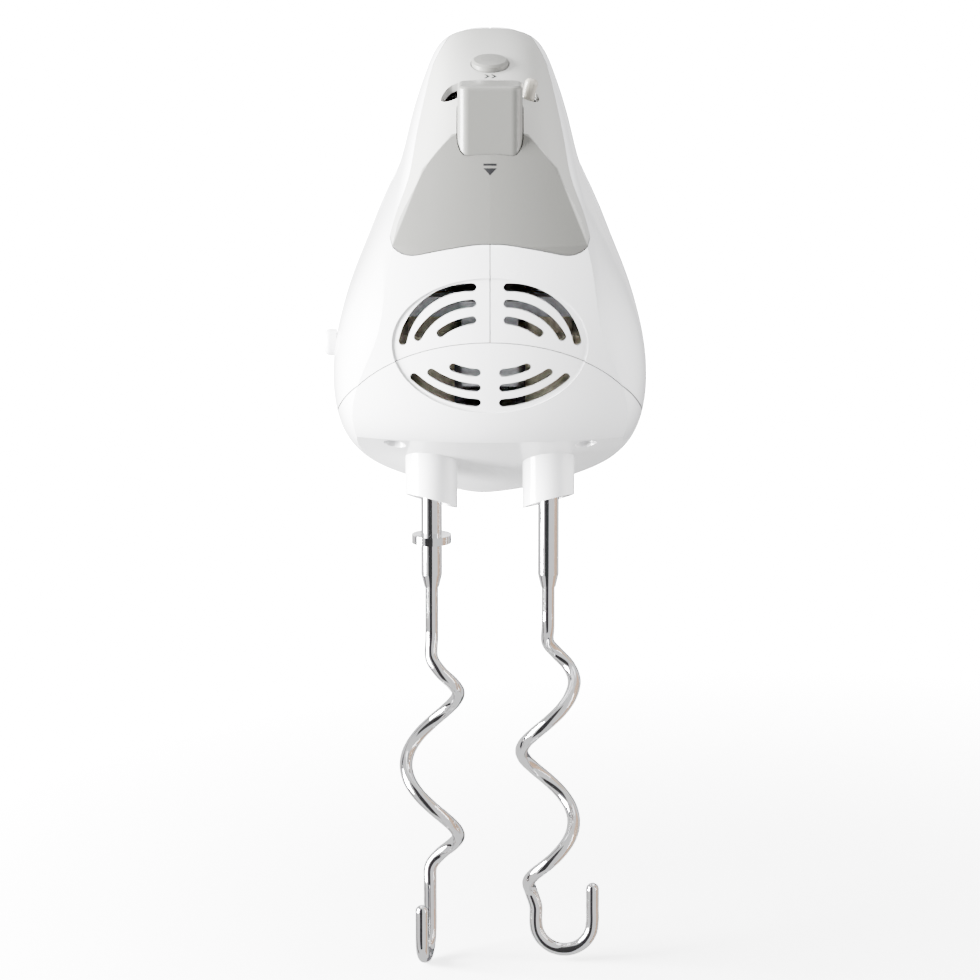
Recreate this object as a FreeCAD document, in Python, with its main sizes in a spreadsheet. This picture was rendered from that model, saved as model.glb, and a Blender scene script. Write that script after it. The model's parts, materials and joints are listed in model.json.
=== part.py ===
import FreeCAD, Part
import math
import os
import Sketcher
from FreeCAD import Placement, Rotation, Vector

# Hand mixer with two dough hooks, as an assembly of separate pieces.
# Millimetres. +Z is up, the nose points to -Y and +X is the right-hand side seen from the nose.
# The origin is the middle of the grip. The pieces are drawn about the tool point, which lies
# midway between the two hook axes at the level of the collar mouths, and are then moved there.

doc = FreeCAD.newDocument("HandMixer")
dims = doc.addObject("Spreadsheet::Sheet", "dims")

DIMENSIONS = [
    ("tool_y", -85, "tool point from the grip's middle, along Y"),
    ("tool_z", -119, "tool point from the grip's middle, along Z"),
    ("wall", 2.2, "wall of the housing shells"),
    ("seam", 0.15, "half the gap at a parting line"),
    ("axis_x", 18, "hook axis from the centre plane"),
    ("motor_z", 46, "motor shaft above the tool point"),
    ("collar_r", 8, "socket collar, outside"),
    ("collar_bore_r", 6.7, "socket collar, inside"),
    ("spindle_r", 5.4, "spindle tube, outside"),
    ("spindle_bore_r", 3.3, "spindle tube, inside"),
    ("spindle_low", 3, "spindle's lower end"),
    ("spindle_len", 61, "spindle's length"),
    ("bush_r", 7.6, "spindle bush, outside"),
    ("bush_len", 6, "spindle bush, length"),
    ("bush_low", 18, "lower bush, underside"),
    ("bush_high", 57, "upper bush, underside"),
    ("gear_r", 15.45, "worm wheel over its teeth"),
    ("gear_root_r", 13.4, "worm wheel at its tooth roots"),
    ("gear_width", 9, "worm wheel's face width"),
    ("shaft_r", 2.4, "motor shaft"),
    ("shaft_front", -22, "motor shaft, front end"),
    ("shaft_len", 128, "motor shaft, length"),
    ("worm_r", 4.4, "worm over its threads"),
    ("worm_root_r", 2.3, "worm at its thread roots"),
    ("stator_y", 50, "front of the stator"),
    ("stator_len", 26, "stator stack"),
    ("stator_width", 56, "stator, across"),
    ("stator_height", 44, "stator, tall"),
    ("stator_bore_r", 15.2, "stator bore"),
    ("core_r", 14.6, "armature core"),
    ("commutator_y", 84, "commutator, front end"),
    ("commutator_r", 8, "commutator"),
    ("commutator_len", 12, "commutator length"),
    ("fan_y", 28, "fan's front face"),
    ("fan_r", 20, "fan over its blades"),
    ("fan_len", 9, "fan length"),
    ("hook_shaft_r", 3.25, "hook shaft"),
    ("hook_top", 53, "upper end of the hook shaft"),
    ("hook_step", -26.5, "shoulder where the shaft narrows"),
    ("wire_r", 2.05, "hook wire"),
    ("button_width", 19.6, "release button, across"),
    ("button_depth", 15.5, "release button, front to back"),
    ("button_top", 126.4, "release button, top face"),
    ("button_front", -12, "release button, front face"),
    ("press_travel", 5, "release button's travel"),
    ("turbo_r", 5.7, "boost button"),
    ("turbo_y", 20, "boost button from the hook axes"),
    ("turbo_z", 129.6, "boost button's face at its middle"),
    ("turbo_tilt", 13, "slope of the crown under the boost button, degrees"),
]
VALUE = {alias: number for alias, number, _note in DIMENSIONS}
for row, (alias, number, note) in enumerate(DIMENSIONS, 1):
    dims.set("A%d" % row, note)
    dims.set("B%d" % row, str(number))
    dims.setAlias("B%d" % row, alias)
doc.recompute()

NODES = []
LOCAL = {}


# ---------------------------------------------------------------- helpers

def bind(piece, **expressions):
    """Bind properties of a document object to expressions on the sheet."""
    for name, expression in expressions.items():
        piece.setExpression(name, str(expression))


def place(piece, x="0", y="0", z="0", rotation=None):
    """Place a document object, each coordinate an expression on the sheet."""
    if rotation is not None:
        piece.Placement = Placement(Vector(), rotation)
    LOCAL[piece.Name] = (str(x), str(y), str(z))
    for letter, expression in zip("xyz", LOCAL[piece.Name]):
        piece.setExpression("Placement.Base." + letter, expression)
    return piece


def node(label, piece):
    """Make a document object a sub-part of its own and move it into the part's frame."""
    x, y, z = LOCAL.get(piece.Name, ("0", "0", "0"))
    piece.Label = label
    place(piece, x, "dims.tool_y + (%s)" % y, "dims.tool_z + (%s)" % z)
    NODES.append(piece)
    return piece


def shaped_node(label, shape):
    """A sub-part whose shape comes from Part's own functions, moved on from where the shape was put."""
    piece = doc.addObject("Part::Feature", label)
    piece.Shape = shape
    LOCAL[piece.Name] = tuple("%.6f" % value for value in shape.Placement.Base)
    return node(label, piece)


ALONG = {"Z": Rotation(), "Y": Rotation(Vector(1, 0, 0), -90), "X": Rotation(Vector(0, 1, 0), 90)}


def cylinder(name, radius, length, x="0", y="0", z="0", axis="Z"):
    piece = doc.addObject("Part::Cylinder", name)
    bind(piece, Radius=radius, Height=length)
    return place(piece, x, y, z, ALONG[axis])


def box(name, width, depth, height, x, y, z):
    """A box given by its size and its lowest corner."""
    piece = doc.addObject("Part::Box", name)
    bind(piece, Length=width, Width=depth, Height=height)
    return place(piece, x, y, z)


def cut(name, base, tool):
    piece = doc.addObject("Part::Cut", name)
    piece.Base, piece.Tool = base, tool
    return piece


def fuse(name, pieces):
    piece = doc.addObject("Part::MultiFuse", name)
    piece.Shapes = pieces
    piece.Refine = True
    return piece


def group(name, pieces):
    piece = doc.addObject("Part::Compound", name)
    piece.Links = pieces
    return piece


def ring(name, outer, inner, length, x="0", y="0", z="0", axis="Z"):
    """A tube that ends square."""
    return cut(name, cylinder(name + "_outside", outer, length, x, y, z, axis),
               cylinder(name + "_hole", inner, length, x, y, z, axis))


def plain_spline(points, closed=False):
    curve = Part.BSplineCurve()
    curve.interpolate(points, PeriodicFlag=closed)
    return curve.toShape()


def polygon(points):
    return Part.makePolygon(points + points[:1])


def prism(outline, direction):
    return Part.Face(Part.Wire(outline)).extrude(direction)


# ---------------------------------------------------------------- outer form

# Cross-sections from nose to heel: place along Y, top, underside, then half-widths at the four
# levels below and at four heights between the neck and the top.
LEVELS = (28, 50, 66, 80)
CROWN_STEPS = (0.30, 0.55, 0.78, 0.93)
BELLY_STEPS = ((0.46, 0.905), (0.64, 0.79), (0.80, 0.57), (0.92, 0.31))
STATIONS = [
    (-36, 91.0, 10.0, (38.5, 33.5, 30.5, 27.5), (25.0, 20.5, 15.0, 9.5)),
    (-20, 104.0, 8.0, (41.2, 36.0, 32.5, 29.5), (27.0, 22.5, 17.0, 10.5)),
    (-5, 116.0, 3.5, (45.6, 41.0, 35.8, 31.5), (28.0, 24.0, 18.5, 12.0)),
    (10, 125.0, -2.5, (47.8, 44.6, 38.2, 33.0), (28.0, 24.5, 19.6, 14.0)),
    (30, 132.4, -7.3, (48.6, 46.0, 39.6, 33.8), (27.8, 24.5, 20.3, 15.6)),
    (50, 135.4, -6.0, (48.4, 45.8, 39.4, 33.8), (27.4, 23.8, 19.8, 15.4)),
    (75, 132.8, -1.0, (48.0, 45.3, 39.0, 33.2), (25.0, 20.6, 17.6, 14.0)),
    (100, 128.0, 6.0, (46.8, 44.4, 38.0, 32.2), (23.6, 19.6, 17.0, 13.4)),
    (125, 125.6, 11.0, (45.0, 42.8, 36.0, 30.4), (24.0, 20.0, 17.2, 13.2)),
    (155, 127.6, 14.0, (42.0, 41.0, 34.6, 29.2), (24.4, 20.2, 16.6, 12.2)),
]


def section_wire(station, inset):
    """One closed cross-section, drawn inside the outer form by the inset."""
    y, top, bottom, body, crown = station
    low, high = LEVELS[0], LEVELS[-1]
    half = [(0.0, bottom)]
    half += [(body[0] * part, low - step * (low - bottom)) for step, part in reversed(BELLY_STEPS)]
    half += list(zip(body, LEVELS))
    half += [(width, high + step * (top - high)) for width, step in zip(crown, CROWN_STEPS)]
    half += [(0.0, top)]
    moved = []
    for index, (x, z) in enumerate(half):
        x0, z0 = half[index - 1] if index else (-half[1][0], half[1][1])
        x1, z1 = half[index + 1] if index + 1 < len(half) else (-half[-2][0], half[-2][1])
        run = math.hypot(x1 - x0, z1 - z0)
        moved.append(Vector(x - inset * (z1 - z0) / run, y, z + inset * (x1 - x0) / run))
    mirrored = [Vector(-point.x, y, point.z) for point in moved[-2:0:-1]]
    return Part.Wire([plain_spline(moved + mirrored, closed=True)])


# The nose in side view: foot of the ramp, ramp's top, then up the front to the cover's facet.
TURN_Y = 75.0
RAMP_TOP = (-22.0, 19.5)
RAMP_SLOPE = -27.0 / 52.0
NOSE = [RAMP_TOP, (-27.0, 26.5), (-29.4, 38.0), (-30.0, 52.0), (-28.9, 67.0), (-26.6, 80.0)]
FACET_SLOPE = 1.82
FACET_END_Z = 150.0
HEEL_Y = 150.0


def front_limit(inset):
    """All that lies behind the nose, the ramp under it and the facet over it."""
    ramp_angle, facet_angle = math.atan(RAMP_SLOPE), math.atan(FACET_SLOPE)
    points = [(y + inset, z) for y, z in NOSE]
    points[0] = (NOSE[0][0] + inset * 0.9, NOSE[0][1] + inset * 0.55)
    points[-1] = (NOSE[-1][0] + inset * math.sin(facet_angle),
                  NOSE[-1][1] - inset * math.cos(facet_angle) * 0.2)
    (ramp_y, ramp_z), (facet_y, facet_z) = points[0], points[-1]
    foot_z = ramp_z + RAMP_SLOPE * (TURN_Y - ramp_y)
    top_y = facet_y + (FACET_END_Z - facet_z) / FACET_SLOPE
    nose = plain_spline([Vector(0, y, z) for y, z in points])
    corners = [Vector(0, facet_y, facet_z), Vector(0, top_y, FACET_END_Z), Vector(0, TURN_Y, FACET_END_Z),
               Vector(0, TURN_Y, foot_z), Vector(0, ramp_y, ramp_z)]
    edges = [nose] + [Part.makeLine(a, b) for a, b in zip(corners, corners[1:])]
    profile = Part.Face(Part.Wire(edges))
    sides = [profile.revolve(Vector(0, TURN_Y, 0), Vector(0, 0, 1), turn) for turn in (90, -90)]
    behind = Part.makeBox(240, 120, 240, Vector(-120, TURN_Y - 0.5, -60))
    return sides[0].fuse([sides[1], behind])


def heel_limit(inset):
    """A side view with the flat heel and its rounded corners, run across the body."""
    back, low_r, high_r = HEEL_Y - inset, 14.0, 7.0
    low_z, high_z = 17.5, 131.0
    bend = math.sqrt(0.5)
    points = {
        "low_start": (back - low_r, low_z),
        "low_mid": (back - low_r + low_r * bend, low_z + low_r * (1 - bend)),
        "low_end": (back, low_z + low_r), "high_start": (back, high_z - high_r),
        "high_mid": (back - high_r * (1 - bend), high_z - high_r * (1 - bend)),
        "high_end": (back - high_r, high_z),
    }
    at = {key: Vector(-80, y, z) for key, (y, z) in points.items()}
    far = [Vector(-80, back - 20, 170), Vector(-80, -80, 170), Vector(-80, -80, -60), Vector(-80, 40, -60)]
    corners = [at["high_end"]] + far + [at["low_start"]]
    edges = [Part.Arc(at["low_start"], at["low_mid"], at["low_end"]).toShape(),
             Part.makeLine(at["low_end"], at["high_start"]),
             Part.Arc(at["high_start"], at["high_mid"], at["high_end"]).toShape()]
    edges += [Part.makeLine(a, b) for a, b in zip(corners, corners[1:])]
    return prism(edges, Vector(160, 0, 0))


def body_form(inset):
    """The whole outer form, or the same form drawn inside it by the inset."""
    loft = Part.makeLoft([section_wire(station, inset) for station in STATIONS], True, False)
    return loft.common(front_limit(inset)).common(heel_limit(inset))


# ---------------------------------------------------------------- finger opening

OPENING_Y = (52.0, 122.0)
OPENING_Z = (85.0, 107.5)
OPENING_CORNER = 11.0
OPENING_FLARE = ((-70.0, 34.0), (-34.0, 7.5), (-22.0, 2.2), (-12.0, 0.0),
                 (12.0, 0.0), (22.0, 2.2), (34.0, 7.5), (70.0, 34.0))


def opening_wire(x, grow):
    """A rounded rectangle across the body, larger on every side by the growth."""
    y0, y1 = OPENING_Y[0] - grow, OPENING_Y[1] + grow
    z0, z1 = OPENING_Z[0] - grow, OPENING_Z[1] + grow
    r = OPENING_CORNER + grow
    k = r * (1 - math.sqrt(0.5))
    corners = [((y1, z0 + r), (y1 - k, z0 + k), (y1 - r, z0)), ((y0 + r, z0), (y0 + k, z0 + k), (y0, z0 + r)),
               ((y0, z1 - r), (y0 + k, z1 - k), (y0 + r, z1)), ((y1 - r, z1), (y1 - k, z1 - k), (y1, z1 - r))]
    edges = []
    for index, corner in enumerate(corners):
        start, middle, end = (Vector(x, y, z) for y, z in corner)
        following = Vector(x, *corners[(index + 1) % 4][0])
        edges.append(Part.Arc(start, middle, end).toShape())
        edges.append(Part.makeLine(end, following))
    return Part.Wire(edges)


def opening_tool(grow):
    """The opening for the fingers, flared towards both sides."""
    return Part.makeLoft([opening_wire(x, flare + grow) for x, flare in OPENING_FLARE], True, False)


# ---------------------------------------------------------------- parting regions

COVER_FRONT = ((0.0, 80.9), (11.7, 79.6), (18.5, 78.2), (25.2, 77.4), (29.0, 79.4), (31.0, 84.5),
               (33.0, 92.0))
COVER_SIDE = ((-14.5, 68.0), (-12.0, 84.0), (-8.0, 96.0), (2.0, 105.0), (13.0, 113.0), (26.0, 122.5),
              (40.0, 130.6))
COVER_PLAN = ((22.0, 24.0), (15.2, 40.0), (12.2, 56.0), (10.6, 76.0), (10.2, 100.0), (10.4, 124.0),
              (8.2, 138.0), (0.0, 144.0))


def grown(points, grow):
    """Plane points moved outwards, the outside being on the right of the way they run."""
    moved = []
    for index, (u, v) in enumerate(points):
        u0, v0 = points[index - 1] if index else (u - 1, v)
        u1, v1 = points[index + 1] if index + 1 < len(points) else (2 * u - u0, 2 * v - v0)
        run = math.hypot(u1 - u0, v1 - v0)
        moved.append((u + grow * (v1 - v0) / run, v - grow * (u1 - u0) / run))
    return moved


def outline_prism(points, axis, ends, depth):
    """Run a symmetric outline along Y or Z: the points on both sides of x = 0, closed by straight ends."""
    if axis == "Y":
        right = [Vector(x, -60, z) for x, z in points]
        far, run = [Vector(x, -60, z) for x, z in ends], Vector(0, depth, 0)
    else:
        right = [Vector(x, y, 60) for x, y in points]
        far, run = [Vector(x, y, 60) for x, y in ends], Vector(0, 0, depth)
    edges = [plain_spline(right), plain_spline([Vector(-p.x, p.y, p.z) for p in right])]
    open_end = right[0] if abs(right[0].x) > 1 else right[-1]
    corners = [open_end] + far + [Vector(-p.x, p.y, p.z) for p in reversed(far)]
    corners.append(Vector(-open_end.x, open_end.y, open_end.z))
    edges += [Part.makeLine(a, b) for a, b in zip(corners, corners[1:])]
    return Part.Face(Part.Wire(Part.__sortEdges__(edges))).extrude(run)


def cover_region(grow):
    """The space of the grey cover: what its outlines from the front, the side and above share."""
    front = grown(COVER_FRONT, grow)
    front[0] = (0.0, COVER_FRONT[0][1] - grow)
    x = front[-1][0]
    seen_front = outline_prism(front, "Y", [(x + 4, 120.0), (x + 4, 170.0)], 240)
    plan = grown(COVER_PLAN, grow)
    plan[-1] = (0.0, COVER_PLAN[-1][1] + grow)
    x, y = plan[0]
    seen_above = outline_prism(plan, "Z", [(x + 30, y - 6), (x + 30, -60)], 110)
    side = [(y, z) for y, z in grown(COVER_SIDE, grow)]
    (y0, z0), (y1, z1) = side[0], side[-1]
    edge = plain_spline([Vector(-60, y, z) for y, z in side])
    corners = [(y1, z1), (y1, 100), (160, 100), (160, 180), (-60, 180), (-60, z0), (y0, z0)]
    corners = [Vector(-60, y, z) for y, z in corners]
    seen_side = prism([edge] + [Part.makeLine(a, b) for a, b in zip(corners, corners[1:])], Vector(120, 0, 0))
    return seen_front.common(seen_above).common(seen_side)


def ellipse_prism(across, tall, middle_z, depth):
    """An upright ellipse in front of the nose, run backwards."""
    middle = Vector(0, -60, middle_z)
    ellipse = Part.Ellipse(middle + Vector(across, 0, 0), middle + Vector(0, 0, tall), middle)
    return prism([ellipse.toShape()], Vector(0, depth, 0))


BASE_ARCH = (47.2, 31.6)
BASE_Z = 20.0
BASE_ARCH_END = 12.0


def base_region(grow):
    """The space of the base cover: all that is low, and an arch that climbs the nose."""
    arch = ellipse_prism(BASE_ARCH[0] + grow, BASE_ARCH[1] + grow, BASE_Z, 60 + BASE_ARCH_END)
    return arch.fuse(Part.makeBox(200, 300, 80 + grow, Vector(-100, -80, BASE_Z - 80)))


LENS_Z = 50.5
LENS_HALF = (29.6, 20.6)
LENS_RECESS = 0.7
SLOT_WIDTH = 2.6
UPPER_SLOTS = (((5.3, 68.2), (17.6, 64.5), (26.2, 51.5)), ((5.3, 63.4), (14.8, 60.4), (21.6, 53.0)),
               ((5.3, 58.4), (10.4, 57.0), (14.8, 54.4)))
LOWER_SLOTS = (((4.0, 42.4), (7.6, 42.9), (11.0, 44.0)), ((4.0, 37.7), (11.0, 39.0), (17.6, 42.2)),
               ((4.0, 33.0), (14.0, 35.2), (22.8, 40.6)))


def slot_tool(points, side):
    """A curved slot with round ends through the nose, along an arc given by three points."""
    start, middle, end = (Vector(side * x, -60, z) for x, z in points)
    circle = Part.Arc(start, middle, end).toShape().Curve
    centre, radius = circle.Center, circle.Radius
    half = SLOT_WIDTH / 2

    def spread(point, sign):
        return centre + (point - centre) * ((radius + sign * half) / radius)

    def tip(point, away):
        along = (point - centre).cross(Vector(0, 1, 0)).normalize()
        if along.dot(away - point) > 0:
            along = along * -1
        return point + along * half

    edges = [Part.Arc(spread(start, 1), spread(middle, 1), spread(end, 1)).toShape(),
             Part.Arc(spread(end, 1), tip(end, middle), spread(end, -1)).toShape(),
             Part.Arc(spread(end, -1), spread(middle, -1), spread(start, -1)).toShape(),
             Part.Arc(spread(start, -1), tip(start, middle), spread(start, 1)).toShape()]
    return prism(edges, Vector(0, 52, 0))


# ---------------------------------------------------------------- housing pieces

MOUTH_TILT_SIDE = 14.5
MOUTH_TILT_BACK = 16.0
MOUTH_Z = -3.4
SCREWS = ((29.0, -13.0, 24.0), (17.0, 122.0, 20.0))
SCREW_HEAD_R, SCREW_SHANK_R, SCREW_LEN, SCREW_HEAD_LEN = 3.0, 1.5, 14.0, 2.4
RECESS_R, BOSS_R, UPPER_BOSS_R, BOSS_TOP = 3.4, 5.4, 3.8, 6.0
STUD_Y, STUD_Z, STUD_R, STUD_STEM_R, STUD_FOOT, STUD_OUT = 28.0, 41.0, 4.1, 2.6, 47.7, 51.6
GLAND_Z, GLAND_R, GLAND_FLANGE_R, GLAND_BORE_R = 44.0, 6.2, 8.6, 3.6
RIBS = ((10.0, 56.0, 64.0, 27.3), (55.0, 34.0, 58.0, 28.2), (70.0, 34.0, 58.0, 28.2))
RIB_THICKNESS = 2.0
POCKET_GAP = 0.35
SLOT_ENDS = ((11.6, 3.3), (13.9, 2.1), (15.0, 0.0))
SLOT_Y = 7.7


def mirrored_pair(shape):
    return [shape, shape.mirror(Vector(), Vector(1, 0, 0))]


def mouth_tool():
    """What is cut away below the slanted mouth of the collar on the +X side."""
    block = Part.makeBox(120, 120, 40, Vector(-60, -60, -40))
    block.rotate(Vector(), Vector(0, 1, 0), -MOUTH_TILT_SIDE)
    block.rotate(Vector(), Vector(1, 0, 0), -MOUTH_TILT_BACK)
    block.translate(Vector(VALUE["axis_x"], 0, MOUTH_Z))
    return block.common(Part.makeBox(60, 60, 60, Vector(1.5, -30, -50)))


def collar(outside):
    """A socket collar on the +X side, down to its slanted mouth."""
    tube = Part.makeCylinder(outside, 34, Vector(VALUE["axis_x"], 0, -14))
    return tube.cut(mouth_tool())


def screw_tool(x, y, z):
    """Recess and shank hole of a housing screw that comes up from below."""
    recess = Part.makeCylinder(RECESS_R, z + 40, Vector(x, y, -40))
    return recess.fuse(Part.makeCylinder(SCREW_SHANK_R + 0.1, SCREW_LEN + 1, Vector(x, y, z)))


def housing_parts():
    """Shell the outer form and part it into two halves, a base and a cover."""
    wall, gap = VALUE["wall"], VALUE["seam"]
    outer, inner = body_form(0.0), body_form(wall)
    hollow = inner.cut(opening_tool(wall))
    skin = outer.cut(inner)
    shell = outer.cut(opening_tool(0.0)).cut(hollow)
    recess = outer.cut(body_form(LENS_RECESS)).common(ellipse_prism(*LENS_HALF, LENS_Z, 60))
    slots = [slot_tool(points, side) for points in UPPER_SLOTS + LOWER_SLOTS for side in (1, -1)]
    shell = shell.cut([recess] + slots)

    cover = skin.common(cover_region(-gap))
    shell_open = shell.cut(skin.common(cover_region(gap)))
    lower = shell.common(base_region(-gap))
    upper = shell_open.cut(base_region(gap))

    lower = lower.fuse(mirrored_pair(collar(VALUE["collar_r"]).cut(hollow)))
    upper_extra = []
    for x, y, z in SCREWS:
        split = z + BOSS_TOP
        post = Part.makeCylinder(BOSS_R, split - gap + 40, Vector(x, y, -40)).common(outer)
        lower = lower.fuse(mirrored_pair(post))
        post = Part.makeCylinder(UPPER_BOSS_R, 10, Vector(x, y, split + gap))
        web = Part.makeBox(30, 2, 5.8, Vector(x + 2, y - 1, split + gap + 8))
        upper_extra += mirrored_pair(post.fuse(web).common(outer))
    for y, z0, z1, clear in RIBS:
        rib = Part.makeBox(60, RIB_THICKNESS, z1 - z0, Vector(clear, y, z0)).common(outer)
        upper_extra += mirrored_pair(rib)
    upper = upper.fuse(upper_extra)

    bores = mirrored_pair(Part.makeCylinder(VALUE["collar_bore_r"], 50, Vector(VALUE["axis_x"], 0, -26)))
    screw_tools = [tool for x, y, z in SCREWS for tool in mirrored_pair(screw_tool(x, y, z))]
    lower = lower.cut(bores + screw_tools)
    back = HEEL_Y
    gland_hole = Part.makeCylinder(GLAND_R + 0.02, 20, Vector(0, back - 10, GLAND_Z), Vector(0, 1, 0))
    stud_holes = [Part.makeCylinder(STUD_STEM_R + 0.02, 20, Vector(-36, STUD_Y, STUD_Z), Vector(-1, 0, 0)),
                  Part.makeCylinder(STUD_R + 0.02, 20, Vector(-STUD_FOOT, STUD_Y, STUD_Z), Vector(-1, 0, 0))]
    upper = upper.cut(screw_tools + stud_holes + [gland_hole])
    halves = {}
    for label, low_x in (("housing_left", -120.0), ("housing_right", gap)):
        side = Part.makeBox(120.0 - gap, 400, 400, Vector(low_x, -100, -100))
        halves[label] = upper.common(side)

    width, depth = VALUE["button_width"] + 2 * POCKET_GAP, VALUE["button_depth"] + 2 * POCKET_GAP
    pocket = Part.makeBox(width, depth, 60, Vector(-width / 2, VALUE["button_front"] - POCKET_GAP, 90))
    upright = [edge for edge in pocket.Edges if abs(edge.tangentAt(0).z) > 0.9]
    pocket = pocket.makeFillet(3.6, upright)
    edges, corners = [], {}
    for side in (-1, 1):
        for lip in (-1, 1):
            start, bend, tip = (Vector(side * x, SLOT_Y + lip * y, 90) for x, y in SLOT_ENDS)
            edges.append(Part.Arc(start, bend, tip).toShape())
            corners[side, lip] = start
    edges += [Part.makeLine(corners[-1, lip], corners[1, lip]) for lip in (-1, 1)]
    slot = prism(Part.__sortEdges__(edges), Vector(0, 0, 60))
    button_hole = Part.makeCylinder(VALUE["turbo_r"] + 0.3, 24, Vector(0, 0, -12))
    button_hole.rotate(Vector(), Vector(1, 0, 0), VALUE["turbo_tilt"])
    button_hole.translate(Vector(0, VALUE["turbo_y"], VALUE["turbo_z"]))
    cover = cover.cut([pocket, slot, button_hole])
    return halves["housing_left"], halves["housing_right"], lower, cover


CRUMB = 20.0


def without_crumbs(shape):
    """The shape's solids, less the crumbs that a cut has left."""
    solids = [solid for solid in shape.Solids if solid.Volume > CRUMB]
    return solids[0] if len(solids) == 1 else Part.makeCompound(solids)


for label, shape in zip(("housing_left", "housing_right", "base_cover", "handle_cover"), housing_parts()):
    shaped_node(label, without_crumbs(shape))


# ---------------------------------------------------------------- fixed pieces of the housing

def revolved(points):
    """A solid turned about Z from a half outline of (radius, height) points, from axis to axis."""
    face = Part.Face(polygon([Vector(r, 0, z) for r, z in points]))
    return face.revolve(Vector(), Vector(0, 0, 1), 360)


def turned_to(shape, direction, position):
    """Turn a shape drawn along +Z to another direction and move it."""
    shape.Placement = Placement(position, Rotation(Vector(0, 0, 1), direction)).multiply(shape.Placement)
    return shape


def make_stud():
    """Domed stud on the -X flank, its stem through the wall."""
    inner_x = STUD_OUT - 9.0
    stem = Part.makeCylinder(STUD_STEM_R, STUD_OUT - inner_x - 1, Vector())
    head_low = STUD_FOOT - inner_x
    head = Part.makeCylinder(STUD_R, STUD_OUT - STUD_FOOT, Vector(0, 0, head_low))
    head = head.makeFillet(1.8, [edge for edge in head.Edges if edge.BoundBox.ZMin > head_low + 1])
    shaped_node("side_stud", turned_to(stem.fuse(head), Vector(-1, 0, 0), Vector(-inner_x, STUD_Y, STUD_Z)))


def make_gland():
    """Inlet bush in the heel: a flange inside the shell and the bore for the cord."""
    inside = HEEL_Y - VALUE["wall"] - 0.1
    body = Part.makeCylinder(GLAND_R, HEEL_Y - inside + 4, Vector(0, 0, 0))
    flange = Part.makeCylinder(GLAND_FLANGE_R, 4, Vector(0, 0, 0))
    bush = body.fuse(flange).cut(Part.makeCylinder(GLAND_BORE_R, 20, Vector(0, 0, -5)))
    shaped_node("cord_inlet_bush", turned_to(bush, Vector(0, 1, 0), Vector(0, inside - 4, GLAND_Z)))


def make_screws():
    """Four pan-head screws that hold the base to the two halves."""
    screw = revolved([(0, 0), (SCREW_HEAD_R - 0.6, 0), (SCREW_HEAD_R, 0.7), (SCREW_HEAD_R, SCREW_HEAD_LEN),
                      (SCREW_SHANK_R, SCREW_HEAD_LEN), (SCREW_SHANK_R, SCREW_LEN), (0, SCREW_LEN + 1.4)])
    slot = Part.makeBox(3.4, 0.8, 1.2, Vector(-1.7, -0.4, -0.2))
    cross = slot.copy()
    cross.rotate(Vector(), Vector(0, 0, 1), 90)
    screw = screw.cut([slot, cross])
    placed = []
    for x, y, z in SCREWS:
        for side in (-1, 1):
            copy = screw.copy()
            copy.translate(Vector(side * x, y, z - SCREW_HEAD_LEN))
            placed.append(copy)
    shaped_node("housing_screws", Part.makeCompound(placed))


make_stud()
make_gland()
make_screws()


# ---------------------------------------------------------------- springs

def helix_spring(radius, wire, length, turns):
    """A compression spring along +Z from z = 0, wire centres from wire to length - wire."""
    rise = length - 2 * wire
    helix = Part.makeLongHelix(rise / turns, rise, radius, 0, False)
    start = Part.makeCircle(wire, Vector(radius, 0, 0), Vector(0, 1, rise / turns / (2 * math.pi * radius)))
    pipe = Part.Wire(helix.Edges).makePipeShell([Part.Wire([start])], True, True)
    pipe.translate(Vector(0, 0, wire))
    return pipe


# ---------------------------------------------------------------- controls

STEM_R, STEM_Y = 3.0, -4.0
BUTTON_LOW, CARRIER_LOW, CARRIER_HIGH = 100.0, 83.0, 86.0
CARRIER_WIDE, CARRIER_DEEP, CARRIER_FRONT = 38.0, 58.0, -14.0
PILLAR_WIDE, PILLAR_DEEP, PILLAR_TALL, PILLAR_FRONT = 12.0, 11.0, 18.0, 20.0
LUG_WIDE, LUG_DEEP, LUG_FRONT, LUG_LOW = 9.0, 2.4, 11.4, 68.0
PIVOT_R, PIVOT_LEN, PIVOT_FRONT = 1.6, 8.0, 5.0
LEVER_WINDOW = (17.0, 6.0, 4.9)
CROSSBAR = (70.0, 74.0)
CROSSBAR_DEEP, CROSSBAR_FRONT = 8.0, -6.0
PIN_R, PIN_GAP = 2.8, 0.3
EJECT_COIL_R, EJECT_WIRE_R, EJECT_TURNS = 4.6, 0.45, 7
LEVER_PIVOT_Z, LEVER_REST = 72.0, 13.4
LEVER_DEEP, LEVER_WIDE, LEVER_ARM, LEVER_HUB_R = 3.4, 4.0, 3.2, 4.2
LEVER_TOP, FIN_LEN, FIN_ROUND = 55.8, 14.0, 1.6
SPEED_SWITCH = (20.0, 10.5, 13.0, 14.2, 69.0)
SWITCH_TAB = (0.8, 4.0, 5.0, 16.0, 64.2)
TAB_STEP, TAB_FIRST = 6.6, -7.4
BOOST_COIL_R, BOOST_WIRE_R, BOOST_SPRING_LEN, BOOST_TURNS = 2.8, 0.35, 9.0, 6
BOOST_SPRING_LOW = -14.0


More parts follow.
